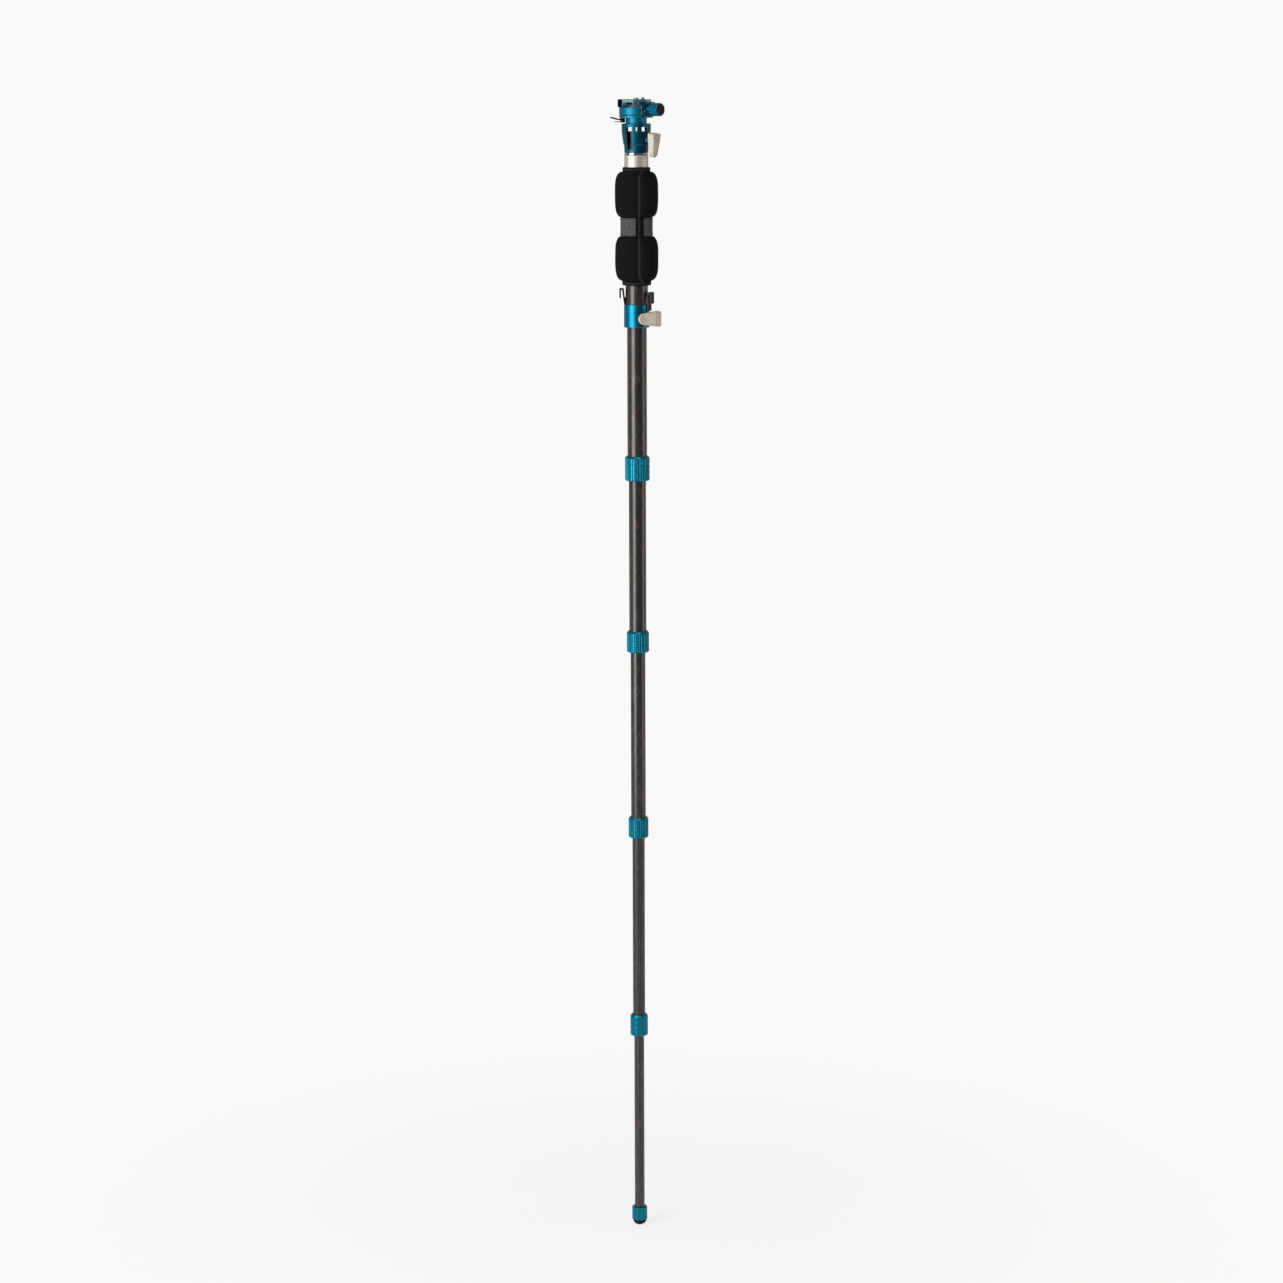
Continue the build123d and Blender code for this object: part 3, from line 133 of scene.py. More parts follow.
def turned(
    name, colour, roughness, mark=0.05, anisotropy=0.4, blast_mm=0.0, coat=0.0, edge_wear_and_highlight="#9db9c2", wear_and_highlight_amount=0.6
):
    """Metal with tool marks round the pole's axis, or a blasted grain where blast_mm is given."""
    material, tree, shader = new_finish(
        name, colour, metallic=1.0, roughness=roughness, coat_weight=coat, coat_roughness=OXIDE_ROUGHNESS
    )
    place = add_node(tree, "ShaderNodeTexCoord")
    if blast_mm:
        grain = add_node(
            tree,
            "ShaderNodeTexNoise",
            {"Scale": 1 / (blast_mm * MM), "Detail": 2.0},
            {"Vector": place.outputs["Object"]},
        )
    else:
        squeeze = add_node(
            tree, "ShaderNodeMapping", {"Scale": (0.02, 0.02, 1.0)}, {"Vector": place.outputs["Object"]}
        )
        grain = add_node(
            tree,
            "ShaderNodeTexNoise",
            {"Scale": 1 / (TOOL_MARK_MM * MM), "Detail": 1.0},
            {"Vector": squeeze.outputs["Vector"]},
        )
        shader.inputs["Anisotropic"].default_value = anisotropy
        around = add_node(tree, "ShaderNodeTangent", {"direction_type": "RADIAL", "axis": "Z"})
        tree.links.new(around.outputs["Tangent"], shader.inputs["Tangent"])
    rounded = add_node(tree, "ShaderNodeBevel", {"samples": 4, "Radius": EDGE_MM * MM})
    bump = add_node(
        tree,
        "ShaderNodeBump",
        {"Strength": mark * 4, "Distance": TOOL_MARK_DEPTH_MM * MM},
        {"Height": grain.outputs["Fac"], "Normal": rounded.outputs["Normal"]},
    )
    tree.links.new(bump.outputs["Normal"], shader.inputs["Normal"])
    flat = add_node(tree, "ShaderNodeNewGeometry")
    facing = add_node(
        tree,
        "ShaderNodeVectorMath",
        {"operation": "DOT_PRODUCT"},
        {0: rounded.outputs["Normal"], 1: flat.outputs["Normal"]},
    )
    # Pale edge colour: partly rubbed metal, partly a painted highlight along every edge.
    edge = add_node(
        tree,
        "ShaderNodeMapRange",
        {"From Min": EDGE_STARTS, "From Max": EDGE_FULL_WEAR_AND_HIGHLIGHT, "To Max": wear_and_highlight_amount},
        {"Value": facing.outputs["Value"]},
    )
    wear_and_highlight_colour = add_node(
        tree,
        "ShaderNodeMix",
        {"data_type": "RGBA", 6: linear(colour), 7: linear(edge_wear_and_highlight)},
        {0: edge.outputs["Result"]},
    )
    tree.links.new(wear_and_highlight_colour.outputs[2], shader.inputs["Base Color"])
    smudge = add_node(
        tree,
        "ShaderNodeTexNoise",
        {"Scale": 1 / (SMUDGE_MM * MM), "Detail": 3.0},
        {"Vector": place.outputs["Object"]},
    )
    wear = add_node(
        tree,
        "ShaderNodeMapRange",
        {"To Min": roughness * 0.85, "To Max": roughness * 1.2},
        {"Value": smudge.outputs["Fac"]},
    )
    tree.links.new(wear.outputs["Result"], shader.inputs["Roughness"])
    return material


# The pale colour of each finish goes on its edges: rubbed metal with a painted highlight.
blue_anodised = turned("blue_anodised_aluminium", "#08738f", 0.36, coat=0.15)
blue_fluted = turned("blue_anodised_fluted_aluminium", "#07758f", 0.38, 0.03, 0.2, coat=0.15, wear_and_highlight_amount=0.12)
blue_ringed = turned("blue_anodised_ringed_aluminium", "#08708c", 0.47, 0.12, 0.5, coat=0.25)
deep_blue = turned("deep_blue_anodised_aluminium", "#08556c", 0.42, coat=0.2, edge_wear_and_highlight="#a9c6cf", wear_and_highlight_amount=1.0)
blue_blasted = turned("blue_anodised_milled_aluminium", "#08718f", 0.38, 0.04, blast_mm=0.5, coat=0.15)
silver_anodised = turned("silver_anodised_aluminium", "#cbc8c5", 0.56, 0.04, 0.05, edge_wear_and_highlight="#e4e4e2")
pale_anodised = turned("pale_blue_anodised_aluminium", "#86acbd", 0.34, 0.04, blast_mm=0.4, edge_wear_and_highlight="#cfdde2")
black_anodised = turned("black_anodised_aluminium", "#12151c", 0.36, 0.04, coat=0.3, edge_wear_and_highlight="#4e545e", wear_and_highlight_amount=0.4)
polished_steel = turned("polished_steel", "#e4e6e8", 0.12, 0.02, edge_wear_and_highlight="#f2f3f4")
screw_steel = turned("satin_screw_steel", "#8d8b88", 0.30, 0.03, edge_wear_and_highlight="#b9b8b6")
plain_aluminium = turned("machined_aluminium", "#b0b0b2", 0.34, 0.05, edge_wear_and_highlight="#d0d0d2")
print("metals", [m.name for m in bpy.data.materials])

# %% [markdown]
# ## Carbon fibre tube
# The tubes are carbon tape wrapped on a mandrel and cured under a clear resin skin. The eye sees two
# things: a hard glossy line from the resin, and under it a dark brown-grey cloth of fibre tows that
# swims as the wraps cross, because fibre shines along its own length. The tows are 5.5 mm wide and
# wrapped at 28 degrees, so the pattern is made on the unrolled tube: its angle times its radius
# one way, its height the other, stretched along each of the two wraps.

# %% Carbon finish
TOW_WIDTH_MM = 5.5
TOW_LENGTH_MM = 40.0
TOW_RELIEF_MM = 0.15
WRAP_ANGLE = math.radians(28)


def carbon(name, radius):
    """Clear-coated carbon for a tube of a radius in metres: two wraps of tows, crossing."""
    material, tree, shader = new_finish(
        name, "#1c1817", roughness=0.42, specular_ior_level=0.4, coat_weight=0.7, coat_roughness=0.16
    )
    place = add_node(tree, "ShaderNodeTexCoord")
    axes = add_node(tree, "ShaderNodeSeparateXYZ", {}, {"Vector": place.outputs["Object"]})
    angle = add_node(
        tree, "ShaderNodeMath", {"operation": "ARCTAN2"}, {0: axes.outputs["Y"], 1: axes.outputs["X"]}
    )
    girth = add_node(tree, "ShaderNodeMath", {"operation": "MULTIPLY", 1: radius}, {0: angle.outputs[0]})
    unrolled = add_node(tree, "ShaderNodeCombineXYZ", {}, {"X": girth.outputs[0], "Y": axes.outputs["Z"]})
    wraps = []
    for side in (-1, 1):
        lean = add_node(
            tree,
            "ShaderNodeMapping",
            {"Rotation": (0, 0, side * WRAP_ANGLE), "Location": (side * 0.3, 0, 0)},
            {"Vector": unrolled.outputs["Vector"]},
        )
        stretch = add_node(
            tree,
            "ShaderNodeMapping",
            {"Scale": (1 / (TOW_WIDTH_MM * MM), 1 / (TOW_LENGTH_MM * MM), 1.0)},
            {"Vector": lean.outputs["Vector"]},
        )
        tows = add_node(
            tree,
            "ShaderNodeTexNoise",
            {"Scale": 1.0, "Detail": 3.0, "Roughness": 0.55, "Distortion": 0.6},
            {"Vector": stretch.outputs["Vector"]},
        )
        wraps.append(tows.outputs["Fac"])
    crossing = add_node(tree, "ShaderNodeMath", {"operation": "MULTIPLY"}, {0: wraps[0], 1: wraps[1]})
    colour = add_node(tree, "ShaderNodeValToRGB", {}, {"Fac": crossing.outputs[0]})
    ramp = colour.color_ramp
    ramp.elements[0].position = 0.12
    ramp.elements[0].color = linear("#110d0b")
    ramp.elements[1].position = 0.42
    ramp.elements[1].color = linear("#3d2f27")
    middle = ramp.elements.new(0.27)
    middle.color = linear("#211915")
    tree.links.new(colour.outputs["Color"], shader.inputs["Base Color"])
    sheen = add_node(
        tree,
        "ShaderNodeMapRange",
        {"From Min": 0.1, "From Max": 0.45, "To Min": 0.5, "To Max": 0.3},
        {"Value": crossing.outputs[0]},
    )
    tree.links.new(sheen.outputs["Result"], shader.inputs["Roughness"])
    relief = add_node(
        tree,
        "ShaderNodeBump",
        {"Strength": 0.7, "Distance": TOW_RELIEF_MM * MM},
        {"Height": crossing.outputs[0]},
    )
    tree.links.new(relief.outputs["Normal"], shader.inputs["Normal"])
    tree.links.new(relief.outputs["Normal"], shader.inputs["Coat Normal"])
    return material


TUBE_DIAMETERS_MM = {
    "handle_tube": 28.5, "tube_1": 25, "tube_2": 22, "tube_3": 19, "tube_4": 16, "tube_5": 13
}
carbon_finishes = {
    node: carbon(f"clear_coated_carbon_{diameter:g}mm".replace(".", "_"), diameter / 2 * MM)
    for node, diameter in TUBE_DIAMETERS_MM.items()
}
print("carbon", len(carbon_finishes))

# %% [markdown]
# ## Plastics and rubber
# The spring clip and the inner bushes are moulded plastic with a fine spark-eroded grain, and the
# foot is moulded rubber with a dusty, nearly dead surface. The two paddles are cast zinc under a
# champagne powder coat, a baked skin with the slight ripple that painters call orange peel. All are
# dielectrics at their usual IOR; only the roughness and a grain of about half a millimetre tell
# them apart.

# %% Plastics and rubber
GRAIN_DEPTH_MM = 0.05


def moulded(name, colour, roughness, grain_mm, strength, ior=1.5, gloss=0.5):
    """Moulded plastic or rubber with a fine grain."""
    material, tree, shader = new_finish(
        name, colour, roughness=roughness, ior=ior, specular_ior_level=gloss
    )
    place = add_node(tree, "ShaderNodeTexCoord")
    grain = add_node(
        tree,
        "ShaderNodeTexNoise",
        {"Scale": 1 / (grain_mm * MM), "Detail": 3.0},
        {"Vector": place.outputs["Object"]},
    )
    bump = add_node(
        tree,
        "ShaderNodeBump",
        {"Strength": strength, "Distance": GRAIN_DEPTH_MM * MM},
        {"Height": grain.outputs["Fac"]},
    )
    tree.links.new(bump.outputs["Normal"], shader.inputs["Normal"])
    return material


black_nylon = moulded("glass_filled_nylon", "#0c0c0d", 0.50, 0.6, 0.3, gloss=0.25)
bearing_plastic = moulded("acetal_bearing_plastic", "#222224", 0.38, 0.8, 0.1, 1.48)
slip_plastic = moulded("slip_washer_plastic", "#0e0e10", 0.5, 0.8, 0.1, 1.48)
foot_rubber = moulded("moulded_rubber", "#08090b", 0.66, 0.5, 0.5, 1.52, 0.2)
pad_rubber = moulded("grip_rubber", "#232326", 0.8, 0.6, 0.5, 1.52)
foam_rubber = moulded("foam_rubber", "#0c0c0d", 0.85, 0.9, 0.6, 1.5, 0.1)
champagne = moulded("champagne_powder_coat", "#b3a99e", 0.40, 0.7, 0.25)
print("plastics and rubber ready")

# %% [markdown]
# ## Which node wears what
# Every CAD node keeps its own mesh, and its finish goes in its material slot. The table below names
# a finish for each node that shows.

# %% Dress the solids
WEARS = {
    "blue_anodised": (blue_anodised, "collar"),
    "blue_ringed": (blue_ringed, "pan_base clamp_base"),
    "blue_fluted": (blue_fluted, "lock_1 lock_2 lock_3 lock_4 foot_ring"),
    "deep_blue": (deep_blue, "head_cage"),
    "blue_blasted": (blue_blasted, "moving_jaw clamp_knob"),
    "pale": (pale_anodised, "camera_plate"),
    "silver": (silver_anodised, "head_fitting"),
    "black": (black_anodised, "fixed_jaw clamp_knob_cap spigot pan_lever"),
    "champagne": (champagne, "head_lever_paddle collar_lever_paddle head_lever_screw collar_lever_screw"),
    "polished": (polished_steel, "thrust_washer"),
    "steel": (
        screw_steel,
        "camera_screw anti_twist_pin fixed_jaw_screws clamp_screw jaw_guide_pins pan_bolt",
    ),
    "inserts": (plain_aluminium, "ferrule_1 ferrule_2 ferrule_3 ferrule_4 foot_stud"),
    "bearings": (
        bearing_plastic,
        "guide_1 guide_2 guide_3 guide_4 guide_5 collet_1 collet_2 collet_3 collet_4 collar_bush "
        "brake_shoe pan_washer",
    ),
    "slip": (slip_plastic, "swivel_washer"),
    "clip": (black_nylon, "strap_clip"),
    "foot": (foot_rubber, "rubber_foot"),
    "pads": (pad_rubber, "plate_pads"),
    "foam": (foam_rubber, "grip_liner upper_pad lower_pad waist_band closure_strip"),
}


def wear(node, material):
    """Put a material in every slot of a CAD node."""
    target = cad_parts[node]
    for place in target.material_slots:
        place.material = material


for material, names in WEARS.values():
    for node in names.split():
        wear(node, material)
for node, material in carbon_finishes.items():
    wear(node, material)
dressed = sum(len(names.split()) for _, names in WEARS.values()) + len(carbon_finishes)
print("dressed", dressed, "of", len(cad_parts))

# %% [markdown]
# ## Cloth of the wrap
# The grip is a wrap of smooth stretch jersey laminated to foam, black, with a waist of grey marl
# knit. Jersey is loops of yarn, so it swallows light and has a soft edge glow where the loops stand
# up; sheen does that. The loop pitch is about 0.4 mm. It is drawn at 0.7 mm to show in a close view.

# %% Fabric finishes
LOOP_MM = 0.7
LOOP_DEPTH_MM = 0.12
GRIP_RADIUS_MM = 24


def jersey(name, colour, light, speckle, roughness=0.9, sheen=0.05, gloss=0.08, fleck_mm=0.9):
    """Knitted cloth: wales and courses as a fine bump, and a marl of two yarn colours."""
    material, tree, shader = new_finish(
        name, colour, roughness=roughness, sheen_weight=sheen, sheen_roughness=0.4, specular_ior_level=gloss
    )
    shader.inputs["Sheen Tint"].default_value = linear(light)
    place = add_node(tree, "ShaderNodeTexCoord")
    axes = add_node(tree, "ShaderNodeSeparateXYZ", {}, {"Vector": place.outputs["Object"]})
    angle = add_node(
        tree, "ShaderNodeMath", {"operation": "ARCTAN2"}, {0: axes.outputs["Y"], 1: axes.outputs["X"]}
    )
    waves = []
    for source, pitch in ((angle.outputs[0], LOOP_MM / GRIP_RADIUS_MM), (axes.outputs["Z"], LOOP_MM * MM)):
        phase = add_node(
            tree, "ShaderNodeMath", {"operation": "MULTIPLY", 1: 2 * math.pi / pitch}, {0: source}
        )
        waves.append(add_node(tree, "ShaderNodeMath", {"operation": "SINE"}, {0: phase.outputs[0]}))
    loops = add_node(
        tree, "ShaderNodeMath", {"operation": "MULTIPLY"}, {0: waves[0].outputs[0], 1: waves[1].outputs[0]}
    )
    bump = add_node(
        tree,
        "ShaderNodeBump",
        {"Strength": 0.35, "Distance": LOOP_DEPTH_MM * MM},
        {"Height": loops.outputs[0]},
    )
    tree.links.new(bump.outputs["Normal"], shader.inputs["Normal"])
    marl = add_node(
        tree,
        "ShaderNodeTexNoise",
        {"Scale": 1 / (fleck_mm * MM), "Detail": 2.0, "Roughness": 0.7},
        {"Vector": place.outputs["Object"]},
    )
    mix = add_node(tree, "ShaderNodeValToRGB", {}, {"Fac": marl.outputs["Fac"]})
    mix.color_ramp.elements[0].position = 0.5 - speckle / 2
    mix.color_ramp.elements[0].color = linear(colour)
    mix.color_ramp.elements[1].position = 0.5 + speckle / 2
    mix.color_ramp.elements[1].color = linear(light)
    tree.links.new(mix.outputs["Color"], shader.inputs["Base Color"])
    return material


pad_jersey = jersey("black_stretch_jersey", "#0b0b0c", "#131315", 0.7)
binding_tape = jersey("black_binding_tape", "#161516", "#221f21", 0.7, 0.8, 0.08, 0.2)
waist_marl = jersey("grey_marl_knit", "#1a191b", "#646061", 0.34, fleck_mm=1.1)
hook_tape = jersey("black_hook_tape", "#09090a", "#121214", 0.4)
thread, thread_tree, thread_shader = new_finish("waxed_sewing_thread", "#19191b", roughness=0.6)
print("cloth ready")

# %% [markdown]
# ## The pads
# Each pad is foam a finger thick, sewn down at both ends and along the front where the wrap closes.
# Sewing pins the skin and the foam fills out between the seams, so a pad is a crowned ring with
# drawn-in ends. It could be turned as a plain ring, but a turned ring looks like rubber. Here a
# slightly slim ring is filled with air in a cloth simulation, with its seams held, and the swelling
# is capped so that it stays within the drawing. The pads are small and their mesh is fine, so each
# point has little skin for the air to push on: the pressure is a thousand times a big cushion's.

# %% Pad shapes
low_pad, up_pad, waist_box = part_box("lower_pad"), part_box("upper_pad"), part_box("waist_band")
LOWER_Z = (low_pad[0][2], low_pad[1][2])
UPPER_Z = (up_pad[0][2], up_pad[1][2])
WAIST_Z = (waist_box[0][2], waist_box[1][2])
WRAP_Z = (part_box("grip_liner")[0][2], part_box("grip_liner")[1][2])
INNER = 17.6 * MM
PAD_R = 26.2 * MM
ROOT_R = 20.3 * MM
LIP_R = 18.9 * MM
PAD_SHOULDER = 3.7 * MM
PAD_CROWN = 0.3 * MM
SEAM_AZIMUTH = math.radians(-87.6)
print("pads", LOWER_Z, UPPER_Z)


def pad_profile(low, high, lip_low, lip_high):
    """Outline of a pad as (radius, height) points, from its low inner corner up over the crown."""
    length = high - low
    outer = []
    steps = 26
    for step in range(steps + 1):
        share = step / steps
        edge = min(share, 1 - share) * length
        rise = 1 - math.exp(-edge / PAD_SHOULDER)
        foot = lip_low if share < 0.5 else lip_high
        crown = PAD_R - PAD_CROWN * (2 * share - 1) ** 2
        outer.append((foot + (crown - foot) * rise ** 0.8, low + share * length))
    return [(INNER, low)] + outer + [(INNER, high)]


def lathe(name, outline, turns=144):
    """Closed mesh of a closed outline turned about the pole."""
    count = len(outline)
    points, faces = [], []
    for turn in range(turns):
        angle = 2 * math.pi * turn / turns
        points += [(r * math.cos(angle), r * math.sin(angle), z) for r, z in outline]
    for turn in range(turns):
        here, there = turn * count, ((turn + 1) % turns) * count
        for place in range(count):
            after = (place + 1) % count
            faces.append((here + place, there + place, there + after, here + after))
    mesh = bpy.data.meshes.new(name)
    mesh.from_pydata(points, [], faces)
    mesh.update()
    made = bpy.data.objects.new(name, mesh)
    bpy.context.scene.collection.objects.link(made)
    return made


def polar(point):
    """Azimuth and radius of a point about the pole."""
    return math.atan2(point.y, point.x), math.hypot(point.x, point.y)


def turn_gap(angle, other):
    """Smallest signed angle from other to angle."""
    return (angle - other + math.pi) % (2 * math.pi) - math.pi


# %% Fill the pads
AIR_PRESSURE = 4000
POINT_MASS = 0.02
SKIN_STIFFNESS = 5
VOXEL = 2.2 * MM
MOST_SWELLING = 1.2 * MM
SEAM_DEPTH, SEAM_WIDTH = 1.9 * MM, 1.4 * MM
FLAP_LIFT, FLAP_REACH = 1.0 * MM, 26 * MM
WAVE, WAVE_LENGTH = 0.45 * MM, 20 * MM
SEAM_FADE = 6 * MM


def bake(piece):
    """Put a piece's modifiers into its mesh."""
    graph = bpy.context.evaluated_depsgraph_get()
    mesh = bpy.data.meshes.new_from_object(piece.evaluated_get(graph))
    piece.modifiers.clear()
    piece.data = mesh


def inflate(piece, low, high, voxel, cap):
    """Remesh a pad, fill it with air while its seams are held, and cap how far each point moves."""
    even = piece.modifiers.new("even_mesh", "REMESH")
    even.mode = "VOXEL"
    even.voxel_size = voxel
    bake(piece)
    mesh = piece.data
    start = [vertex.co.copy() for vertex in mesh.vertices]
    held = piece.vertex_groups.new(name="sewn")
    for vertex in mesh.vertices:
        azimuth, radius = polar(vertex.co)
        ends = min(vertex.co.z - low, high - vertex.co.z) < voxel
        seam = abs(turn_gap(azimuth, SEAM_AZIMUTH)) * PAD_R < voxel
        if radius < INNER + 1.5 * voxel or ends or seam:
            held.add([vertex.index], 1.0, "REPLACE")
    air = piece.modifiers.new("air", "CLOTH")
    air.settings.quality = 6
    air.settings.mass = POINT_MASS
    air.settings.tension_stiffness = SKIN_STIFFNESS
    air.settings.compression_stiffness = SKIN_STIFFNESS
    air.settings.shear_stiffness = SKIN_STIFFNESS / 3
    air.settings.bending_stiffness = 0.5
    air.settings.use_pressure = True
    air.settings.uniform_pressure_force = AIR_PRESSURE
    air.settings.vertex_group_mass = "sewn"
    air.settings.effector_weights.gravity = 0.0
    scene = bpy.context.scene
    last = 20
    for step in range(1, last + 1):
        scene.frame_set(step)
    graph = bpy.context.evaluated_depsgraph_get()
    swollen = piece.evaluated_get(graph).to_mesh()
    moved = [vertex.co.copy() for vertex in swollen.vertices]
    piece.modifiers.clear()
    scene.frame_set(1)
    furthest = 0.0
    for vertex, before, after in zip(mesh.vertices, start, moved):
        shift = after - before
        if shift.length > cap:
            shift *= cap / shift.length
        furthest = max(furthest, shift.length)
        vertex.co = before + shift
    return furthest


def sew(piece, low, high):
    """Draw the closing seam in, lift the flap on its right, and shade the skin smooth."""
    for vertex in piece.data.vertices:
        azimuth, radius = polar(vertex.co)
        if radius < INNER + 2 * MM:
            continue
        across = turn_gap(azimuth, SEAM_AZIMUTH) * PAD_R
        ends = min(vertex.co.z - low, high - vertex.co.z)
        fade = min(1.0, max(0.0, ends / SEAM_FADE))
        groove = -SEAM_DEPTH * math.exp(-((across / SEAM_WIDTH) ** 2)) * fade
        flap = FLAP_LIFT * math.exp(-across / FLAP_REACH) * fade if across > 0 else 0.0
        wave = WAVE * noise.noise(Vector((azimuth * 2.6, vertex.co.z / WAVE_LENGTH, 3.0))) * fade
        radius_new = radius + groove + flap + wave
        vertex.co.x *= radius_new / radius
        vertex.co.y *= radius_new / radius
    finer = piece.modifiers.new("finer", "SUBSURF")
    finer.levels = finer.render_levels = 1
    bake(piece)
    for face in piece.data.polygons:
        face.use_smooth = True


pads = []
for name, node, (low, high), lips in (
    ("wrap_pad_upper", "upper_pad", UPPER_Z, (ROOT_R, LIP_R)),
    ("wrap_pad_lower", "lower_pad", LOWER_Z, (LIP_R, ROOT_R)),
):
    pad = lathe(name, pad_profile(low, high, *lips))
    moved = inflate(pad, low, high, VOXEL, MOST_SWELLING)
    sew(pad, low, high)
    pad.data.materials.clear()
    pad.data.materials.append(pad_jersey)
    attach(pad, "handle")
    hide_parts(node)
    pads.append(pad)
    print(name, "swelled by up to", round(moved / MM, 2), "mm,", len(pad.data.vertices), "points")

# %% [markdown]
# ## The knitted waist
# Between the pads the wrap is a single layer of grey marl knit, drawn in where the palm closes. It
# is a thin band, so it is turned with shallow ribs, and it stands a little concave.

# %% Waist
RIB_MM = 2.6
RIB_LIFT = 0.16 * MM
WAIST_R = 20.7 * MM
WAIST_SAG = 0.35 * MM
rows = 34
waist_outline = []
for row in range(rows + 1):
    share = row / rows
    z = WAIST_Z[0] + share * (WAIST_Z[1] - WAIST_Z[0])
    waist_outline.append((WAIST_R - WAIST_SAG * math.sin(math.pi * share), z))
waist = lathe("wrap_waist", [(INNER, WAIST_Z[0])] + waist_outline + [(INNER, WAIST_Z[1])], 360)
ribs = round(2 * math.pi * WAIST_R / (RIB_MM * MM))
for vertex in waist.data.vertices:
    azimuth, radius = polar(vertex.co)
    if radius > INNER + MM:
        lift = RIB_LIFT * math.cos(ribs * azimuth) - RIB_LIFT
        vertex.co.x *= (radius + lift) / radius
        vertex.co.y *= (radius + lift) / radius
for face in waist.data.polygons:
    face.use_smooth = True
waist.data.materials.append(waist_marl)
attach(waist, "handle")
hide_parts("waist_band")
print("waist", ribs, "ribs")

# %% [markdown]
# ## The closing edge
# The wrap is one sheet with a bound edge. It closes down the front, its right edge over its left,
# and the corners of the edge that shows are rounded. The binding is a narrow tape folded over the
# edge, so it stands up as a thin round bead. It has to lie on whatever is under it, so its path is
# drawn as azimuth and height, and a ray from outside finds the surface. The same function lays the
# flat strip of hook tape that closes the waist.

# %% Find the surface under the binding
graph = bpy.context.evaluated_depsgraph_get()
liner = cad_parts["grip_liner"]
skins = [BVHTree.FromObject(thing, graph) for thing in pads + [waist, liner]]


def skin_radius(azimuth, z):
    """Radius of the outermost cloth at an azimuth and height."""
    way = Vector((math.cos(azimuth), math.sin(azimuth), 0))
    best = 17.0 * MM
    for skin in skins:
        hit = skin.ray_cast(way * 0.05 + Vector((0, 0, z)), -way, 0.05)
        if hit[0] is not None:
            best = max(best, math.hypot(hit[0].x, hit[0].y))
    return best


def smooth(values, reach):
    """Running mean, which keeps the ends."""
    out = []
    for place in range(len(values)):
        span = min(reach, place, len(values) - 1 - place)
        window = values[place - span : place + span + 1]
        out.append(sum(window) / len(window))
    return out


BEAD_WIDTH = 3.0 * MM
BEAD_THICK = 0.8 * MM
EDGE_AZIMUTH = SEAM_AZIMUTH + 0.9 * MM / PAD_R
CORNER = 13.0 * MM
TAPE_INSET = 1.2 * MM
LIP_RADIUS = 20 * MM
UNDERLAP = 0.42
top_z, bottom_z = WRAP_Z[1] - TAPE_INSET, WRAP_Z[0] + TAPE_INSET
full_turn = EDGE_AZIMUTH + 2 * math.pi + UNDERLAP


def edge_path():
    """The bound edge: round the top, down the front with rounded corners, and round the bottom."""
    corner_turn = CORNER / LIP_RADIUS
    corner_azimuth = EDGE_AZIMUTH + corner_turn
    bends = [step / 14 * math.pi / 2 for step in range(15)]
    around = [full_turn + step / 60 * (corner_azimuth - full_turn) for step in range(60)]
    line = [(azimuth, top_z) for azimuth in around]
    for bend in bends:
        line.append((corner_azimuth - math.sin(bend) * corner_turn, top_z - CORNER * (1 - math.cos(bend))))
    straight = 100
    for step in range(1, straight):
        share = step / straight
        line.append((EDGE_AZIMUTH, top_z - CORNER - share * (top_z - bottom_z - 2 * CORNER)))
    for bend in bends:
        away = (1 - math.cos(bend)) * corner_turn
        line.append((EDGE_AZIMUTH + away, bottom_z + CORNER * (1 - math.sin(bend))))
    return line + [(azimuth, bottom_z) for azimuth in reversed(around)]


path = edge_path()
print("bound edge", len(path), "points")

# %% Lay the binding and the waist strip


def ribbon(name, route, width, thick, offset, slim=1.0, columns=9, flatness=6):
    """Closed tape that lies on the cloth, left of a route of (azimuth, height).

    Its thickness falls to the slim share far from the middle of the route.
    """
    lines = []
    for place, (azimuth, z) in enumerate(route):
        before, after = route[max(place - 1, 0)], route[min(place + 1, len(route) - 1)]
        radius = skin_radius(azimuth, z)
        along = Vector(((after[0] - before[0]) * radius, after[1] - before[1])).normalized()
        out = Vector((-along.y, along.x))
        height = thick * max(slim, min(1.0, 1.8 - 1.2 * abs(azimuth - route[len(route) // 2][0])))
        row = []
        for column in range(columns):
            share = column / (columns - 1)
            reach = share * width
            spot = (azimuth + out.x * reach / radius, z + out.y * reach)
            lift = height * math.sqrt(max(0.0, 1 - abs(2 * share - 1) ** flatness))
            row.append((spot, skin_radius(*spot), lift))
        lines.append(row)
    grounds = [smooth([line[column][1] for line in lines], 3) for column in range(columns)]
    points, faces = [], []
    for place, line in enumerate(lines):
        for column, ((azimuth, z), ground_r, lift) in enumerate(line):
            ground_r = max(grounds[column][place], ground_r)
            for radius in (ground_r + offset + lift, ground_r - 0.3 * MM):
                points.append((radius * math.cos(azimuth), radius * math.sin(azimuth), z))
    stride = 2 * columns

    def index(place, column, under):
        return place * stride + 2 * column + under

    for place in range(len(lines) - 1):
        for column in range(columns - 1):
            faces.append([index(place, column, 0), index(place, column + 1, 0),
                          index(place + 1, column + 1, 0), index(place + 1, column, 0)])
            faces.append([index(place, column, 1), index(place + 1, column, 1),
                          index(place + 1, column + 1, 1), index(place, column + 1, 1)])
        for column in (0, columns - 1):
            faces.append([index(place, column, 0), index(place + 1, column, 0),
                          index(place + 1, column, 1), index(place, column, 1)])
    for place in (0, len(lines) - 1):
        for column in range(columns - 1):
            faces.append([index(place, column, 0), index(place, column, 1),
                          index(place, column + 1, 1), index(place, column + 1, 0)])
    mesh = bpy.data.meshes.new(name)
    mesh.from_pydata(points, [], faces)
    mesh.update()
    made = bpy.data.objects.new(name, mesh)
    bpy.context.scene.collection.objects.link(made)
    for face in mesh.polygons:
        face.use_smooth = True
    return made


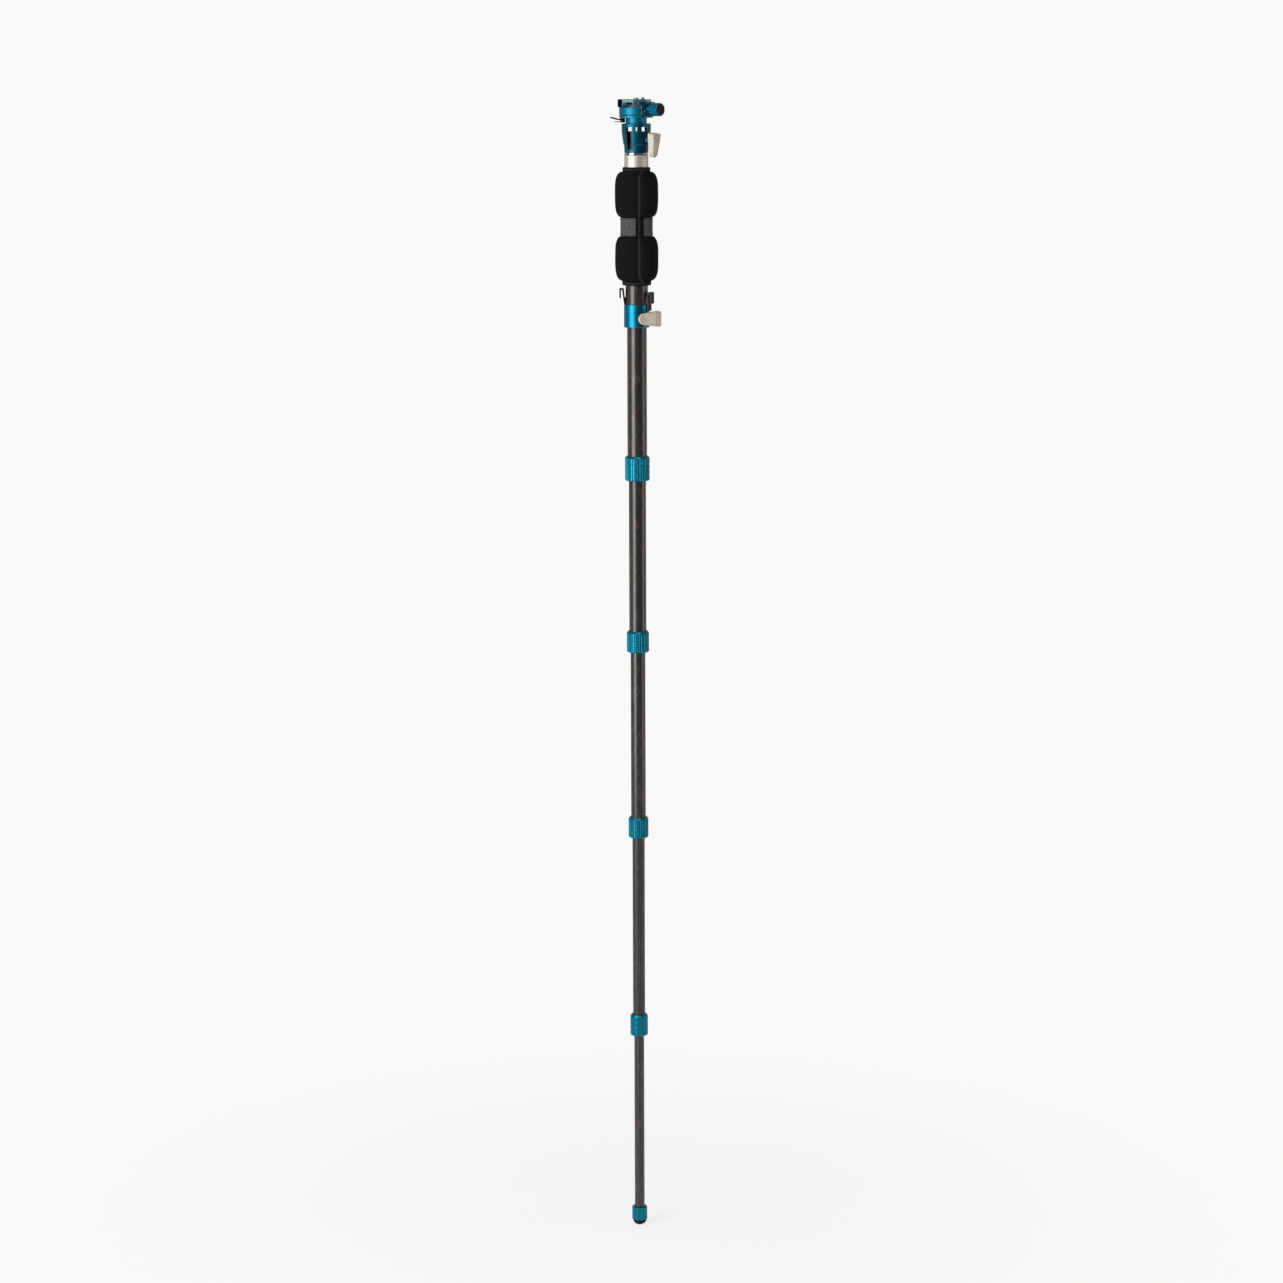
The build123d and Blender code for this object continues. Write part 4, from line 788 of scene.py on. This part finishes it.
bead = ribbon("wrap_edge_binding", path, BEAD_WIDTH, BEAD_THICK, 0.05 * MM, slim=0.3, flatness=2)
bead.data.materials.append(binding_tape)
STRIP_EDGES = (math.radians(-93.7), math.radians(-64.3))
STRIP_WIDTH = (STRIP_EDGES[1] - STRIP_EDGES[0]) * 21 * MM
strip_line = [(STRIP_EDGES[0], WAIST_Z[1] - share / 24 * (WAIST_Z[1] - WAIST_Z[0])) for share in range(25)]
strip = ribbon("wrap_waist_strip", strip_line, STRIP_WIDTH, 0.6 * MM, 0.1 * MM, flatness=12)
strip.data.materials.append(hook_tape)
for piece in (bead, strip):
    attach(piece, "handle")
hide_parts("closure_strip")
print("binding", len(bead.data.vertices), "points, strip", len(strip.data.vertices))

# %% [markdown]
# ## Stitches
# A lockstitch shows as short slugs of thread with a gap between them. Each is a small round slug
# laid along the seam, all in one mesh, at a pitch of 2.4 mm, and sunk to half its thickness.

# %% Stitches
STITCH_PITCH = 2.4 * MM
STITCH_LENGTH = 1.7 * MM
STITCH_R = 0.22 * MM


def stitches(name, routes, sunk=0.3):
    """Slugs of thread along routes of (azimuth, height, extra radius) points."""
    points, faces = [], []
    for route in routes:
        spots = [
            Vector((
                (skin_radius(a, z) + lift) * math.cos(a), (skin_radius(a, z) + lift) * math.sin(a), z
            ))
            for a, z, lift in route
        ]
        travelled, due = 0.0, 0.0
        for here, there in zip(spots, spots[1:]):
            span = (there - here).length
            if span < 1e-7:
                continue
            way = (there - here).normalized()
            while due < travelled + span:
                centre = here + way * (due - travelled)
                up = Vector((centre.x, centre.y, 0)).normalized()
                side = way.cross(up).normalized()
                first = len(points)
                for end, size in ((-0.5, 0.35), (-0.35, 1.0), (0.35, 1.0), (0.5, 0.35)):
                    ring_centre = centre + way * end * STITCH_LENGTH + up * STITCH_R * sunk
                    for corner in range(6):
                        turn = corner * math.pi / 3
                        rim = side * math.cos(turn) + up * math.sin(turn)
                        points.append(ring_centre + rim * STITCH_R * size)
                for ring in range(3):
                    for corner in range(6):
                        a = first + ring * 6 + corner
                        b = first + ring * 6 + (corner + 1) % 6
                        faces.append((a, b, b + 6, a + 6))
                faces.append(tuple(first + corner for corner in range(5, -1, -1)))
                faces.append(tuple(first + 18 + corner for corner in range(6)))
                due += STITCH_PITCH
            travelled += span
    mesh = bpy.data.meshes.new(name)
    mesh.from_pydata(points, [], faces)
    mesh.update()
    made = bpy.data.objects.new(name, mesh)
    bpy.context.scene.collection.objects.link(made)
    for face in mesh.polygons:
        face.use_smooth = True
    made.data.materials.append(thread)
    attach(made, "handle")
    return made


def ring_route(z, lift=0.0, turns=180):
    """Route once round the pole at a height."""
    return [(2 * math.pi * step / turns, z, lift) for step in range(turns + 1)]


front = [(a, z) for a, z in path if abs(a - EDGE_AZIMUTH) < 0.02]
hem = [(a + (BEAD_WIDTH + 1.2 * MM) / PAD_R, z, 0.0) for a, z in front]
seams = stitches("wrap_hem_stitches", [hem])
rings = stitches(
    "wrap_end_stitches",
    [
        ring_route(WRAP_Z[1] - 2.2 * MM),
        ring_route(WRAP_Z[0] + 2.2 * MM),
        ring_route(WAIST_Z[0] + 1.6 * MM),
        ring_route(WAIST_Z[1] - 1.6 * MM),
    ],
)
print("stitches", len(seams.data.polygons) // 20, "and", len(rings.data.polygons) // 20)

# %% [markdown]
# ## Floor, light and camera
# The picture is a white studio: the pole stands on a white sweep, so the ground has no edge. Metal
# shows what is round it, so the room matters more than the lamps: a tall softbox left of the camera
# draws the bright line down every ring, a paler panel far to the right draws the soft second one,
# and the dark room behind the camera keeps the middle of each ring deep.
# The floor answers three kinds of ray. The camera sees nearly plain paper, with the pole's shadow only
# close to the foot. A reflection sees paper that is brighter close by and behind the pole than in
# front. Every other ray meets white paint. The room round it does the same: white to the camera,
# graded from front to back in a reflection, and soft grey light for the rest.

# %% Floor
GROUND = cad_box[0][2]
NEAR_FLOOR, FAR_FLOOR = 0.10, 0.95
white_paint, paint_tree, paint_shader = new_finish("white_sweep_paint", "#f4f4f2", roughness=0.9)
paint_shader.inputs["Specular IOR Level"].default_value = 0.0
rays = add_node(paint_tree, "ShaderNodeLightPath")
spot = add_node(paint_tree, "ShaderNodeTexCoord")
spot_axes = add_node(paint_tree, "ShaderNodeSeparateXYZ", {}, {"Vector": spot.outputs["Object"]})
flat_spot = add_node(
    paint_tree, "ShaderNodeCombineXYZ", {}, {"X": spot_axes.outputs["X"], "Y": spot_axes.outputs["Y"]}
)
away = add_node(paint_tree, "ShaderNodeVectorMath", {"operation": "LENGTH"}, {0: flat_spot.outputs["Vector"]})
fade = add_node(
    paint_tree,
    "ShaderNodeMapRange",
    {"interpolation_type": "SMOOTHSTEP", "From Min": NEAR_FLOOR, "From Max": FAR_FLOOR, "To Min": 0.82},
    {"Value": away.outputs["Value"]},
)
back = add_node(
    paint_tree,
    "ShaderNodeMapRange",
    {"interpolation_type": "SMOOTHSTEP", "From Min": -1.0, "From Max": 1.2, "To Min": 0.08, "To Max": 0.50},
    {"Value": spot_axes.outputs["Y"]},
)
near = add_node(
    paint_tree,
    "ShaderNodeMapRange",
    {"interpolation_type": "SMOOTHSTEP", "From Min": 0.4, "From Max": 4.5, "To Min": 0.85, "To Max": 0.08},
    {"Value": away.outputs["Value"]},
)
paper = add_node(
    paint_tree,
    "ShaderNodeMath",
    {"operation": "MAXIMUM"},
    {0: back.outputs["Result"], 1: near.outputs["Result"]},
)
shown = add_node(paint_tree, "ShaderNodeEmission", {"Color": linear("#f9f9f7"), "Strength": 1.0})
mirrored = add_node(
    paint_tree, "ShaderNodeEmission", {"Color": linear("#f9f9f7")}, {"Strength": paper.outputs[0]}
)
to_camera = add_node(
    paint_tree,
    "ShaderNodeMath",
    {"operation": "MULTIPLY"},
    {0: rays.outputs["Is Camera Ray"], 1: fade.outputs["Result"]},
)
sweep = add_node(
    paint_tree,
    "ShaderNodeMixShader",
    {},
    {0: to_camera.outputs[0], 1: paint_shader.outputs["BSDF"], 2: shown.outputs["Emission"]},
)
blend = add_node(
    paint_tree,
    "ShaderNodeMixShader",
    {},
    {0: rays.outputs["Is Glossy Ray"], 1: sweep.outputs["Shader"], 2: mirrored.outputs["Emission"]},
)
paint_tree.links.new(blend.outputs["Shader"], paint_tree.nodes["Material Output"].inputs["Surface"])

half = 9.0
corners = [(-half, -half, 0), (half, -half, 0), (half, half, 0), (-half, half, 0)]
floor_mesh = bpy.data.meshes.new("studio_floor")
floor_mesh.from_pydata(corners, [], [(0, 1, 2, 3)])
floor = bpy.data.objects.new("studio_floor", floor_mesh)
floor.location.z = GROUND
bpy.context.scene.collection.objects.link(floor)
floor_mesh.materials.append(white_paint)
print("floor at", round(GROUND, 4))

# %% Room
world = bpy.data.worlds.new("studio_room")
bpy.context.scene.world = world
world.use_nodes = True
sky = world.node_tree
sky.nodes.clear()
way = add_node(sky, "ShaderNodeTexCoord")
parts = add_node(sky, "ShaderNodeSeparateXYZ", {}, {"Vector": way.outputs["Generated"]})
depth = add_node(
    sky,
    "ShaderNodeMapRange",
    {"interpolation_type": "SMOOTHSTEP", "From Min": -0.3, "From Max": 0.6, "To Min": 0.05, "To Max": 0.5},
    {"Value": parts.outputs["Y"]},
)
ray = add_node(sky, "ShaderNodeLightPath")
room = add_node(
    sky, "ShaderNodeBackground", {"Color": linear("#f9f9f7")}, {"Strength": depth.outputs["Result"]}
)
soft = add_node(sky, "ShaderNodeBackground", {"Color": linear("#f6f7fa"), "Strength": 0.35})
plain = add_node(sky, "ShaderNodeBackground", {"Color": linear("#f9f9f7"), "Strength": 1.0})
shiny = add_node(
    sky,
    "ShaderNodeMixShader",
    {},
    {0: ray.outputs["Is Glossy Ray"], 1: soft.outputs["Background"], 2: room.outputs["Background"]},
)
show = add_node(
    sky,
    "ShaderNodeMixShader",
    {},
    {0: ray.outputs["Is Camera Ray"], 1: shiny.outputs["Shader"], 2: plain.outputs["Background"]},
)
add_node(sky, "ShaderNodeOutputWorld", {}, {"Surface": show.outputs["Shader"]})
print("room", [node.bl_idname for node in sky.nodes][:3])

# %% Lamps
AIMED_AT = Vector((0, 0, -0.55))


def softbox(name, azimuth, distance, height, width, tall, power, colour="#ffffff"):
    """Area lamp at an azimuth off the camera's line, aimed at the pole; minus is the left."""
    lamp = bpy.data.lights.new(name, "AREA")
    lamp.shape = "RECTANGLE"
    lamp.size, lamp.size_y = width, tall
    lamp.energy = power
    lamp.color = linear(colour)[:3]
    made = bpy.data.objects.new(name, lamp)
    turn = math.radians(azimuth)
    made.location = (distance * math.sin(turn), -distance * math.cos(turn), height)
    aim = AIMED_AT - made.location
    made.rotation_euler = aim.to_track_quat("-Z", "Y").to_euler()
    bpy.context.scene.collection.objects.link(made)
    return made


softbox("key_softbox", -46, 2.6, -0.1, 1.7, 2.6, 80)
softbox("fill_panel", 80, 2.6, -0.4, 1.2, 2.2, 16, "#ffeedd")
softbox("top_softbox", 10, 1.6, 1.5, 1.6, 1.2, 12)

# %% Camera
LENS_MM = 97.2
SENSOR_MM = 36.0
CAMERA_PLACE = (0.0046, -4.399, GROUND + 1.535)
PITCH_DOWN = math.radians(9.7)
ROLL = math.radians(-0.18)
camera_data = bpy.data.cameras.new("studio_camera")
camera_data.lens = LENS_MM
camera_data.sensor_width = SENSOR_MM
camera_data.sensor_fit = "HORIZONTAL"
camera_data.clip_end = 60
camera = bpy.data.objects.new("studio_camera", camera_data)
camera.matrix_world = (
    Matrix.Translation(CAMERA_PLACE)
    @ Matrix.Rotation(math.pi / 2 - PITCH_DOWN, 4, "X")
    @ Matrix.Rotation(ROLL, 4, "Z")
)
bpy.context.scene.collection.objects.link(camera)
bpy.context.scene.camera = camera
bpy.context.scene.view_settings.view_transform = "Standard"
print("camera", camera.location[:])
